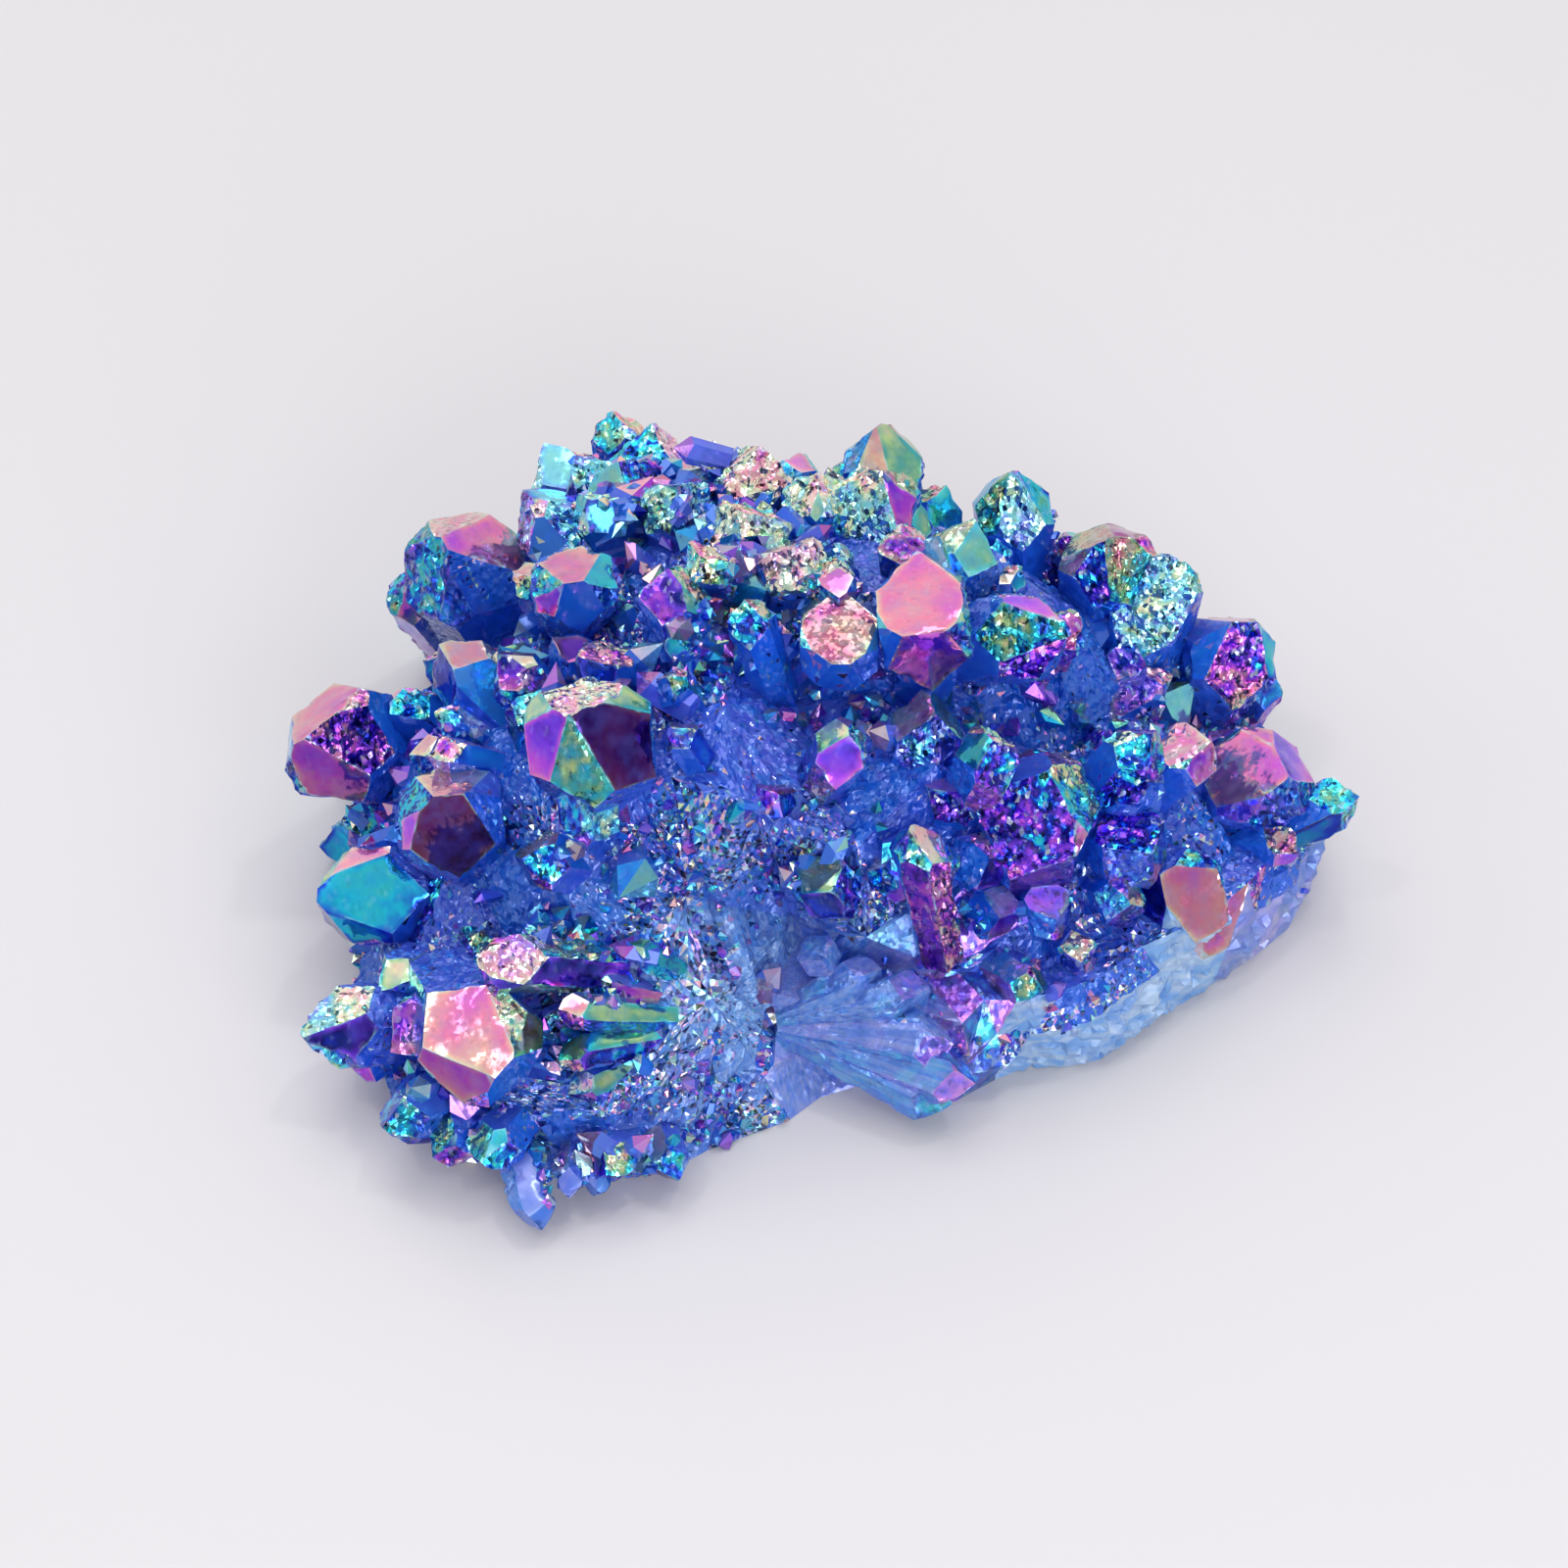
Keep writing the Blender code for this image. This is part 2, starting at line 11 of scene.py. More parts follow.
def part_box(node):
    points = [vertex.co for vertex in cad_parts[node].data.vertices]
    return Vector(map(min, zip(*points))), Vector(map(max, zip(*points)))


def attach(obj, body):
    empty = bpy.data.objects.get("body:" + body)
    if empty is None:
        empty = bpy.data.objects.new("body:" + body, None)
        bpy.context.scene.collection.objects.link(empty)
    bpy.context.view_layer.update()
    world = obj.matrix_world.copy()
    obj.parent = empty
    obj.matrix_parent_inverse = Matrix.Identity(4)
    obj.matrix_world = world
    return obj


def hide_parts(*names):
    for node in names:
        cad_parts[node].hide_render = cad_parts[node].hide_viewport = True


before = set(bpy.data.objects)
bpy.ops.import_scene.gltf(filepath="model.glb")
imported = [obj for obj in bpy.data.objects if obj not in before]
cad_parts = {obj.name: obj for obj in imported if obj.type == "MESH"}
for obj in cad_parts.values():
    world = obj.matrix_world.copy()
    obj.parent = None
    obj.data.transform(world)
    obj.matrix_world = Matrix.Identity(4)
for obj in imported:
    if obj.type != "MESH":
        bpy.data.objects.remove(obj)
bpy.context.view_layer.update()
MM = 0.001

# The rock: one fused body of quartz points, with a fan of thin blades at the front and a broken,
# bare rind below. It all grew together in a vein, and a metal film was then laid on it hot in a
# vacuum, so the film colours every open face and thins out in the gaps.
FLAT_TOGETHER = math.radians(0.6)
TOUCHING = 2e-6


def welded(mesh):
    """Points in mm and triangles of a mesh, with touching points made one."""
    made = bmesh.new()
    made.from_mesh(mesh)
    bmesh.ops.remove_doubles(made, verts=made.verts, dist=TOUCHING)
    bmesh.ops.dissolve_degenerate(made, edges=made.edges, dist=TOUCHING)
    bmesh.ops.dissolve_limit(made, angle_limit=FLAT_TOGETHER, verts=made.verts, edges=made.edges)
    bmesh.ops.triangulate(made, faces=made.faces, quad_method="BEAUTY", ngon_method="BEAUTY")
    made.verts.ensure_lookup_table()
    points = np.array([v.co for v in made.verts]) / MM
    corners = np.array([[v.index for v in f.verts] for f in made.faces])
    made.free()
    return points, corners


def unit(vectors):
    """Vectors made one long."""
    return vectors / np.maximum(np.linalg.norm(vectors, axis=-1, keepdims=True), 1e-12)


def face_normals(points, corners):
    """Unit normal and area of each triangle."""
    a, b, c = (points[corners[:, k]] for k in range(3))
    cross = np.cross(b - a, c - a)
    size = np.linalg.norm(cross, axis=1)
    return cross / np.maximum(size, 1e-12)[:, None], size / 2


def edges_of(corners):
    """Unique edges, the edge number of each triangle side, and the two triangles at each edge."""
    sides = np.sort(np.stack([corners, np.roll(corners, -1, axis=1)], axis=2).reshape(-1, 2), axis=1)
    edges, number = np.unique(sides, axis=0, return_inverse=True)
    number = number.reshape(-1)
    order = np.argsort(number, kind="stable")
    first = np.searchsorted(number[order], np.arange(len(edges)))
    last = np.append(first[1:], len(order)) - 1
    pair = np.stack([order[first] // 3, order[last] // 3], axis=1)
    return edges, number.reshape(-1, 3), pair


def facets_of(points, corners):
    """Number of the flat facet that each triangle belongs to."""
    normals, _ = face_normals(points, corners)
    _, _, pair = edges_of(corners)
    level = (normals[pair[:, 0]] * normals[pair[:, 1]]).sum(1) > math.cos(FLAT_TOGETHER)
    label = np.arange(len(corners))
    joined = pair[level]
    settled = False
    while not settled:
        low = np.minimum(label[joined[:, 0]], label[joined[:, 1]])
        before = label.copy()
        np.minimum.at(label, joined[:, 0], low)
        np.minimum.at(label, joined[:, 1], low)
        settled = (label == before).all()
    return np.unique(label, return_inverse=True)[1].reshape(-1)


rock_points, rock_corners = welded(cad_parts["quartz_cluster"].data)
rock_facet = facets_of(rock_points, rock_corners)
facet_count = rock_facet.max() + 1
tri_normal, tri_area = face_normals(rock_points, rock_corners)
tri_middle = rock_points[rock_corners].mean(1)
facet_area = np.bincount(rock_facet, tri_area, facet_count)


def facet_sum(values):
    """Sum of a vector over each facet, weighted by area."""
    return np.stack([np.bincount(rock_facet, tri_area * values[:, k], facet_count) for k in range(3)], 1)


facet_normal = unit(facet_sum(tri_normal))
facet_middle = facet_sum(tri_middle) / np.maximum(facet_area, 1e-9)[:, None]

# How open each facet is: the share of rays leaving it that meet nothing within reach.
OPEN_REACH = 14.0
OPEN_RAYS = 28
JUST_PROUD = 0.05
ball = unit(np.random.default_rng(3).normal(size=(OPEN_RAYS, 3)))


def openness(tree, places, normals):
    """Share of rays over each place that leave the rock without meeting it again."""
    out = np.zeros(len(places))
    for i, (place, normal) in enumerate(zip(places, normals)):
        start = Vector(place + normal * JUST_PROUD)
        ways = unit(ball + normal * 1.05)
        free = sum(tree.ray_cast(start, Vector(way), OPEN_REACH)[0] is None for way in ways)
        out[i] = free / OPEN_RAYS
    return out


rock_tree = BVHTree.FromPolygons([Vector(p) for p in rock_points], rock_corners.tolist())
facet_open = openness(rock_tree, facet_middle, facet_normal)

# A facet of the body meets its neighbour at a flatter angle than two faces of one crystal do.
BODY_ANGLE = math.radians(31)
SHORT_EDGE = 0.7
rock_edges, _, rock_pair = edges_of(rock_corners)
ends = rock_points[rock_edges]
long_enough = np.linalg.norm(ends[:, 0] - ends[:, 1], axis=1) > SHORT_EDGE
first, second = rock_facet[rock_pair[:, 0]], rock_facet[rock_pair[:, 1]]
shallow = (facet_normal[first] * facet_normal[second]).sum(1) > math.cos(BODY_ANGLE)
shallow &= (first != second) & long_enough
on_body = np.zeros(facet_count, bool)
on_body[first[shallow]] = True
on_body[second[shallow]] = True


def scattered(count, seed):
    """Seeded random numbers from 0 to 1 for a row of facets or faces."""
    return np.random.default_rng(seed).uniform(0.0, 1.0, count)


# Each facet is smooth, lined along by growth, broken into glitter, bare rind or the sawn base.
MIRROR, LINED, GLITTER, RIND, BASE = range(5)
HEART = np.array([-1.0, 1.0, -10.0])
RIND_TOP = 8.4
RIND_MIDDLE = np.array([-3.0, -3.0])
RIND_FROM, RIND_TO = -78, 20
BASE_LEVEL = 0.02

# A tip face looks away from the heart of the rock and lies open, and a face of the body looks away
# from it and is shut in. Then come the shares that are smooth, and that are smooth or lined.
TIP_SMOOTH, TIP_LINED = 0.38, 0.50
SIDE_SMOOTH, SIDE_LINED = 0.45, 0.75
out_of = (facet_normal * unit(facet_middle - HEART)).sum(1)
tip_face = np.clip((out_of - 0.22) / 0.2, 0, 1) * np.clip((facet_open - 0.40) / 0.2, 0, 1)
body_face = np.clip((out_of - 0.5) / 0.2, 0, 1) * np.clip((0.45 - facet_open) / 0.15, 0, 1)
draw = scattered(facet_count, 21)
of_tips = np.where(draw < TIP_SMOOTH, MIRROR, np.where(draw < TIP_LINED, LINED, GLITTER))
of_sides = np.where(draw < SIDE_SMOOTH, MIRROR, np.where(draw < SIDE_LINED, LINED, GLITTER))
kind = np.where(tip_face > 0.5, of_tips, of_sides)
tip_face = np.where(on_body, 0.0, tip_face)
kind = np.where((body_face > 0.4) | on_body, GLITTER, kind)
from_middle = facet_middle[:, :2] - RIND_MIDDLE
bearing = np.degrees(np.arctan2(from_middle[:, 1], from_middle[:, 0]))
rind = (bearing > RIND_FROM) & (bearing < RIND_TO) & (facet_middle[:, 2] < RIND_TOP)
kind = np.where(rind & (facet_normal[:, 2] < 0.35), RIND, kind)
kind = np.where((facet_normal[:, 2] < -0.99) & (facet_middle[:, 2] < BASE_LEVEL), BASE, kind)

# The film's order of colour as it thickens, from 0 to 1 and round again. It is warm on faces that
# look up, teal to blue on sloping ones, and magenta on some that look forward.
FILM = {"navy": 0.0, "royal": 0.08, "cyan": 0.20, "teal": 0.27, "green": 0.34, "lime": 0.42, "gold": 0.50,
        "salmon": 0.61, "pink": 0.71, "crimson": 0.76, "magenta": 0.80, "violet": 0.90}
SKYWARD = unit(np.array([0.10, 0.35, 0.93]))
FORWARD_SHARE, LUCKY_SHARE = 0.35, 0.36
BARE, RIND_COAT, VIOLET_COAT, BASE_COAT = 0.10, 0.05, 0.40, 0.02
VIOLET_FROM = 29.0
up = facet_normal @ SKYWARD
front = np.clip(-facet_normal[:, 1] - 0.2, 0, 1)
film = np.interp(up, [-0.6, 0.0, 0.35, 0.62, 0.80, 0.95], [0.05, 0.10, 0.20, 0.32, 0.55, 0.69])
film = np.where((front > 0.35) & (scattered(facet_count, 53) < FORWARD_SHARE), 0.86, film)
film += 0.12 * (scattered(facet_count, 51) - 0.5) * 2
lucky = (scattered(facet_count, 61) < LUCKY_SHARE) & (facet_open > 0.33)
coat = BARE + 0.80 * np.maximum(tip_face, 0.7 * (lucky & ~on_body))
violet_rind = (kind == RIND) & (facet_middle[:, 0] > VIOLET_FROM)
coat = np.where(kind == RIND, np.where(violet_rind, VIOLET_COAT, RIND_COAT), coat)
film = np.where(violet_rind, 0.87, film)
coat = np.where(kind == BASE, BASE_COAT, coat)
# Each facet's film lightness differs at random; chosen faces below get painted shade or painted highlight
# in its place.
tone_and_painted_light = 0.55 + 0.55 * scattered(facet_count, 71)

# Crowds of lesser points that share a range of colours: middle, reach, lightness (painted light, from
# which it rises at random), share of broken faces, then the colours of the tip faces and of the sides.
# Places are in the part's own mm, and MOVED takes them to where the part lies here.
MOVED = np.array([-0.51, -1.63, 0.0])
TIP_COAT, FLANK_COAT = 0.95, 0.85
CROWDS = [
    ((-3.5, 15.0, 27.0), 9.5, 1.02, 0.8,
     ["gold", "salmon", "pink", "lime", "gold", "pink"], ["teal", "cyan", "lime", "green", "royal"]),
    ((-15.0, 25.5, 22.0), 9.0, 0.88, 0.7,
     ["teal", "cyan", "pink", "green", "salmon", "royal"], ["cyan", "royal", "teal", "navy"]),
    ((-15.5, -16.5, 15.5), 4.5, 0.85, 0.3,
     ["lime", "gold", "teal", "pink", "lime"], ["lime", "gold", "teal", "green", "royal"]),
]


def distance(places, spot):
    """Distance in mm of each place from a spot given in the part's own place."""
    return np.linalg.norm(places - np.array(spot) - MOVED, axis=1)


for number, (middle, reach, painted_light_from, broken, tip_colours, side_colours) in enumerate(CROWDS):
    inside = (distance(facet_middle, middle) < reach) & ~on_body
    tips = inside & (tip_face > 0.2)
    flanks = inside & (tip_face <= 0.2) & (facet_open > 0.22)
    for chosen, colours, strength in ((tips, tip_colours, TIP_COAT), (flanks, side_colours, FLANK_COAT)):
        pick = (scattered(facet_count, 131 + number) * len(colours)).astype(int)
        film = np.where(chosen, np.array([FILM[colour] for colour in colours])[pick], film)
        coat = np.where(chosen, strength, coat)
        tone_and_painted_light = np.where(chosen, painted_light_from + 0.5 * scattered(facet_count, 141 + number), tone_and_painted_light)
        texture = np.where(scattered(facet_count, 151 + number) < broken, GLITTER, MIRROR)
        kind = np.where(chosen, texture, kind)

# The largest points one by one: tip, lean and turn, width, then the finish of each sloping face.
# m is smooth, l is lined along and g is broken into glitter. Deep, dim and soft are painted darker
# and pale is painted lighter, as painted shade and highlight for what each face mirrors.
LARGE_FACES = [
    ((-16.0, -8.5, 30.0), (-105, 65, -105), 10.4,
     "m violet deep, m salmon dim, g salmon pale, g gold, l royal, l green dim"),
    ((-27.0, 18.0, 20.0), (-115, 65, -40), 11.0,
     "m pink, m teal pale, g cyan, g green dim, m violet dim, g navy"),
    ((-36.5, 1.5, 17.0), (-130, 45, -130), 10.0,
     "g magenta deep, m royal dim, g cyan, m pink, g green, g pink dim"),
    ((-25.5, -8.0, 21.0), (-95, 65, -170), 9.0,
     "m crimson deep, g pink pale, m teal, m green, l lime, m magenta dim"),
    ((-17.0, 7.0, 28.0), (-85, 60, 5), 7.4,
     "m pink, g lime, g gold, m violet, g navy, m teal"),
    ((7.0, -1.5, 31.0), (-95, 40, 10), 10.5,
     "m pink, g lime, m magenta, m magenta, l cyan deep, l navy"),
    ((1.5, -2.0, 29.0), (-90, 35, 0), 7.6,
     "g gold dim, g lime, g teal, g gold, m royal, g green"),
    ((5.0, 26.0, 24.0), (110, 85, 30), 6.8,
     "m pink pale, m violet, g cyan, g pink, g teal, m royal"),
    ((4.0, 17.5, 27.0), (-125, 80, -160), 7.8,
     "g lime pale, m violet, g pink, g pink pale, g gold, g green pale"),
    ((14.5, 22.0, 23.0), (125, 85, -25), 7.0,
     "g teal pale, m violet dim, m royal, g pink, g cyan, g green dim"),
    ((21.5, 16.5, 22.0), (-95, 75, -135), 8.2,
     "g gold dim, g cyan, m teal, m pink, g pink, g lime dim"),
    ((25.5, 15.5, 20.0), (40, 80, 20), 8.6,
     "m cyan, m royal, g magenta, g cyan, g teal, g cyan"),
    ((31.5, 13.5, 16.0), (-35, 75, 135), 8.4,
     "g royal, m violet, g teal, m pink, g pink, g cyan dim"),
    ((33.0, 0.0, 15.0), (-65, 55, 50), 9.2,
     "m pink, g royal, g cyan, g violet, m violet, m violet"),
    ((17.0, 2.0, 27.0), (-30, 35, 45), 7.6,
     "g teal dim, g navy, g royal, m violet, g cyan, g cyan"),
    ((-34.5, -9.0, 12.0), (-145, 35, -50), 8.6,
     "m cyan, m magenta, g teal, l royal pale, g royal, m teal"),
    ((-21.5, -25.5, 14.0), (-70, 30, 35), 9.6,
     "m pink, m violet, g teal, m lime, g navy, g royal deep"),
    ((-35.5, -18.0, 8.0), (-155, 20, 10), 7.0,
     "g gold pale, m teal, g pink, g royal, m violet, m navy"),
    ((15.5, -8.0, 23.0), (-85, 75, 150), 10.2,
     "g navy, g royal, m royal, m teal, m pink, g gold dim"),
    ((7.5, -13.5, 18.0), (-80, 30, -135), 6.8,
     "m salmon pale, g teal, m navy, m royal, m violet, m violet deep"),
    ((24.5, -8.0, 12.0), (-115, 60, -90), 9.0,
     "m salmon soft, g teal, g cyan, g lime, m royal, g pink"),
    ((-22.5, -20.0, 18.0), (-150, 35, -35), 5.4,
     "m pink, g pink, g cyan, g navy, m violet, g salmon"),
    ((6.5, -11.5, 22.0), (160, 80, 5), 4.4,
     "m salmon pale, g teal, g cyan, g royal, m violet, g gold"),
]
TEXTURES = {"m": MIRROR, "l": LINED, "g": GLITTER}
# Tone words as painted light: below 1 darkens a face as painted shade, above 1 mixes in white as a
# painted highlight.
PAINTED_LIGHT_WORDS = {"deep": 0.16, "dim": 0.55, "soft": 0.75, "plain": 0.95, "pale": 1.25}
FULL_COAT = 0.94
SAME_PLANE = 0.12
SAME_WAY = 0.975
FACE_REACH = 0.33
SLOPE = math.radians(38.2)


def sloping_normals(azimuth, elevation, turn):
    """The outward directions of the six sloping faces of one point."""
    axis = Vector((math.cos(azimuth) * math.cos(elevation), math.sin(azimuth) * math.cos(elevation),
                   math.sin(elevation)))
    skyward = Vector((0, 0, 1))
    skyward = (skyward - axis * skyward.dot(axis)).normalized()
    skyward.rotate(Matrix.Rotation(turn, 3, axis))
    across = axis.cross(skyward)
    around = np.radians(60 * np.arange(6))[:, None]
    level = np.cos(around) * np.array(skyward) + np.sin(around) * np.array(across)
    return level * math.cos(SLOPE) + np.array(axis) * math.sin(SLOPE)


def give_finish(chosen, finish):
    """Lays one named finish on the chosen facets."""
    texture, colour, *tone = finish.split()
    kind[chosen] = TEXTURES[texture]
    film[chosen] = FILM[colour]
    coat[chosen] = FULL_COAT
    tone_and_painted_light[chosen] = PAINTED_LIGHT_WORDS[tone[0] if tone else "plain"]


reaches = np.stack([distance(facet_middle, tip) / width for tip, lean, width, finishes in LARGE_FACES])
nearest = reaches.argmin(0)
for number, (tip, lean, width, finishes) in enumerate(LARGE_FACES):
    tip = np.array(tip) + MOVED
    near = (reaches[number] < 1.05) & (nearest == number) & (facet_area > 0.15)
    closeness = np.exp(-(np.linalg.norm(facet_middle - tip, axis=1) / (0.45 * width)) ** 2)
    for way, finish in zip(sloping_normals(*np.radians(lean)), finishes.split(", ")):
        depth = (tip - facet_middle) @ way
        same = near & (facet_normal @ way > SAME_WAY) & (depth > -0.1) & (depth < FACE_REACH * width)
        if same.any():
            main = np.argmax(np.where(same, facet_area * closeness, 0))
            same &= np.abs((facet_middle - facet_middle[main]) @ way) < SAME_PLANE
            give_finish(same, finish)

# Single faces that differ from the rest of their point, each named by a place on it.
SINGLE_FACES = [
    ((-15.8, -18.0, 14.8), "m navy"), ((-20.6, -19.1, 17.8), "g pink pale"),
    ((-13.7, -19.6, 13.1), "m lime"), ((-13.8, -20.4, 10.7), "m green"),
    ((-16.5, -21.5, 11.1), "m lime"), ((-19.4, -22.9, 12.9), "m gold"),
    ((-23.5, -25.2, 11.6), "m magenta dim"), ((7.3, -1.2, 27.9), "m magenta"),
    ((1.6, 0.1, 28.6), "l salmon dim"), ((19.2, 15.4, 18.9), "g royal"), ((18.2, 16.9, 18.9), "m pink"),
    ((25.6, 14.7, 17.9), "g teal pale"), ((31.4, 13.6, 15.7), "g violet"),
    ((34.3, 4.2, 12.6), "m violet"), ((22.1, -6.1, 15.8), "g navy"), ((27.0, -7.2, 9.2), "m pink soft"),
    ((26.7, -5.0, 11.2), "g cyan"), ((-33.9, 2.5, 16.6), "g violet dim"),
    ((-37.3, 1.2, 14.9), "m magenta dim"), ((-19.0, -7.2, 27.0), "m violet"),
    ((3.7, 25.2, 22.8), "m salmon"), ((6.1, 25.3, 22.1), "m lime"), ((30.1, -6.2, 6.9), "m pink soft"),
    ((21.7, -4.6, 18.2), "g royal"), ((37.4, 2.0, 10.8), "g teal"), ((36.6, -0.4, 10.0), "m royal dim"),
    ((7.6, -13.5, 17.1), "l violet dim"),
]
for place, finish in SINGLE_FACES:
    own = rock_facet[rock_tree.find_nearest(Vector(np.array(place) + MOVED))[2]]
    same = (facet_normal @ facet_normal[own] > 0.985) & (distance(facet_middle, place) < 7)
    same &= np.abs((facet_middle - facet_middle[own]) @ facet_normal[own]) < SAME_PLANE
    give_finish(same, finish)
    on_body[same] = False

# The broad blades that fan out to the right of the notch are pale and hardly coated, and so is
# the crystal that hangs lowest at the front.
FAN_ROOT = np.array([-3.5, -14.6, 5.0]) + MOVED
FAN_REACH, FAN_TOP, FAN_TIPS = 17, 11.5, 12.5
HANGING = (-19.0, -30.5, 1.6)
blade = facet_middle - FAN_ROOT
blade_length = np.linalg.norm(blade, axis=1)
not_base = kind != BASE
right_fan = (blade[:, 0] > 0.3) & (blade_length < FAN_REACH) & (facet_middle[:, 1] < -11.0 + MOVED[1])
right_fan &= (facet_middle[:, 2] < FAN_TOP) & not_base
film = np.where(right_fan, np.where(scattered(facet_count, 81) < 0.5, 0.88, 0.12), film)
coat = np.where(right_fan, 0.18 + 0.20 * scattered(facet_count, 83), coat)
coat = np.where(right_fan & (blade_length > FAN_TIPS), 0.75, coat)
kind = np.where(right_fan, LINED, kind)
milky = np.where(kind == RIND, 1.0, np.where(right_fan, 0.55, 0.0))
front_body = on_body & not_base & (facet_middle[:, 1] < -8)
milky = np.maximum(milky, front_body * np.interp(blade_length, [2, 15], [0.75, 0.05]))
hanging = (distance(facet_middle, HANGING) < 5.5) & (facet_middle[:, 1] < -26.5 + MOVED[1])
milky = np.where(hanging & not_base, 0.35, milky)
coat = np.where(hanging, 0.15, coat)


def refined(points, corners, facet, limit):
    """Splits each edge longer than its limit at the middle, again and again, without gaps."""
    while True:
        edges, sides, pair = edges_of(corners)
        length = np.linalg.norm(points[edges[:, 0]] - points[edges[:, 1]], axis=1)
        allowed = np.minimum(limit[facet[pair[:, 0]]], limit[facet[pair[:, 1]]])
        cut = length > allowed
        if not cut.any():
            return points, corners, facet
        middle = np.full(len(edges), -1)
        middle[cut] = len(points) + np.arange(cut.sum())
        points = np.concatenate([points, points[edges[cut]].mean(1)])
        at = middle[sides]
        count = (at >= 0).sum(1)
        new, owner = [corners[count == 0]], [facet[count == 0]]
        for k in range(3):
            a, b, c = (corners[:, (k + i) % 3] for i in range(3))
            ab, bc, ca = (at[:, (k + i) % 3] for i in range(3))
            one = (count == 1) & (ab >= 0)
            new += [np.stack([a, ab, c], 1)[one], np.stack([ab, b, c], 1)[one]]
            owner += [facet[one]] * 2
            two = (count == 2) & (ca < 0)
            from_a = np.linalg.norm(points[a] - points[bc], axis=1)
            short = from_a < np.linalg.norm(points[ab] - points[c], axis=1)
            new += [np.stack([ab, b, bc], 1)[two]]
            new += [np.stack([a, ab, bc], 1)[two & short], np.stack([a, bc, c], 1)[two & short]]
            new += [np.stack([a, ab, c], 1)[two & ~short], np.stack([ab, bc, c], 1)[two & ~short]]
            owner += [facet[two]] + [facet[two & short]] * 2 + [facet[two & ~short]] * 2
        three = count == 3
        a, b, c = corners[three].T
        ab, bc, ca = at[three].T
        new += [np.stack(t, 1) for t in ((a, ab, ca), (ab, b, bc), (ca, bc, c), (ab, bc, ca))]
        owner += [facet[three]] * 4
        corners, facet = np.concatenate(new), np.concatenate(owner)


# Longest edge allowed on each kind of facet, in mm, and where a facet is out of sight.
LIMITS = np.array([0.95, 0.72, 0.62, 0.75, 4.0])
UNDERNEATH, DEEP_DOWN = 1.5, 1.0
limit = LIMITS[kind]
limit = np.where((facet_normal[:, 2] < -0.35) & not_base, UNDERNEATH, limit)
limit = np.where((facet_open < 0.25) & not_base, np.maximum(limit, DEEP_DOWN), limit)
points, corners, facet = refined(rock_points, rock_corners, rock_facet, limit)

# Distance in mm from each point to the nearest crease between facets.
CREASE = math.radians(8)
edges, _, pair = edges_of(corners)
creased = (facet_normal[facet[pair[:, 0]]] * facet_normal[facet[pair[:, 1]]]).sum(1) < math.cos(CREASE)
crease_points = np.unique(edges[creased])
crease_tree = KDTree(len(crease_points))
for i, p in enumerate(points[crease_points]):
    crease_tree.insert(p, i)
crease_tree.balance()
rim = np.array([crease_tree.find(p)[2] for p in points])


def hashed(cells, seed):
    """Three random numbers from 0 to 1 for each whole-number cell."""
    key = (cells[..., 0] * 73856093) ^ (cells[..., 1] * 19349663) ^ (cells[..., 2] * 83492791)
    key = (key ^ (seed * 2654435761)).astype(np.uint64)
    out = []
    for _ in range(3):
        key = (key ^ (key >> np.uint64(33))) * np.uint64(0xFF51AFD7ED558CCD)
        key = (key ^ (key >> np.uint64(29))) * np.uint64(0xC4CEB9FE1A85EC53)
        key = key ^ (key >> np.uint64(32))
        out.append((key >> np.uint64(40)).astype(float) / float(1 << 24))
    return np.stack(out, axis=-1)


def grain(place, size, seed):
    """Smooth noise from -1 to 1 at each place, with lumps about size mm across."""
    scaled = place / size
    low = np.floor(scaled).astype(np.int64)
    part = scaled - low
    part = part * part * (3 - 2 * part)
    total = np.zeros(len(place))
    for corner in np.ndindex(2, 2, 2):
        weight = np.ones(len(place))
        for axis, step in enumerate(corner):
            weight *= part[:, axis] if step else 1 - part[:, axis]
        total += weight * hashed(low + np.array(corner), seed)[:, 0]
    return total * 2 - 1


def mosaic(place, size, seed, steep):
    """Height in mm of small tilted plates about size mm across, as on an etched crystal face."""
    scaled = place / size
    low = np.floor(scaled).astype(np.int64)
    nearest = np.full(len(place), 1e9)
    height = np.zeros(len(place))
    for step in np.ndindex(3, 3, 3):
        cell = low + np.array(step) - 1
        off = scaled - (cell + hashed(cell, seed))
        far = (off * off).sum(1)
        closer = far < nearest
        nearest = np.where(closer, far, nearest)
        tilt = (hashed(cell, seed + 1) - 0.5) * 2 * steep
        height = np.where(closer, (off * tilt).sum(1) * size, height)
    return height


corner_list = corners.reshape(-1)
share = np.bincount(corner_list, minlength=len(points)).astype(float)


def at_points(per_facet):
    """Mean over the triangles at each point of a value given for each facet."""
    return np.bincount(corner_list, np.repeat(per_facet[facet], 3), len(points)) / share


# How far each point is pushed out along its facet: etched plates on glitter, growth lines on
# lined faces, a slight swell on smooth ones, lumps on the rind, rays on the slopes of the fan,
# and chips along the creases. Sizes and heights are in mm.
CHIP_REACH, CHIP_DEPTH = 0.5, 0.28
DEEPEST, PROUDEST = -0.6, 0.30
outward = unit(np.stack([at_points(facet_normal[:, k]) for k in range(3)], 1))
part = [at_points((kind == k).astype(float)) for k in range(5)]
push = part[GLITTER] * (mosaic(points, 1.2, 5, 0.30) + mosaic(points, 0.5, 8, 0.22))
push += part[LINED] * mosaic(points * np.array([0.4, 0.4, 1.0]), 0.45, 12, 0.16)
push += part[MIRROR] * (0.030 * grain(points, 2.4, 15))
lumps = 0.40 * grain(points * np.array([1, 1, 0.25]), 1.2, 31)
push += part[RIND] * (lumps + mosaic(points, 1.1, 33, 0.45))
from_root = points - FAN_ROOT
turn_angle = np.arctan2(from_root[:, 0], from_root @ unit(np.array([0.0, 0.65, 0.75])))
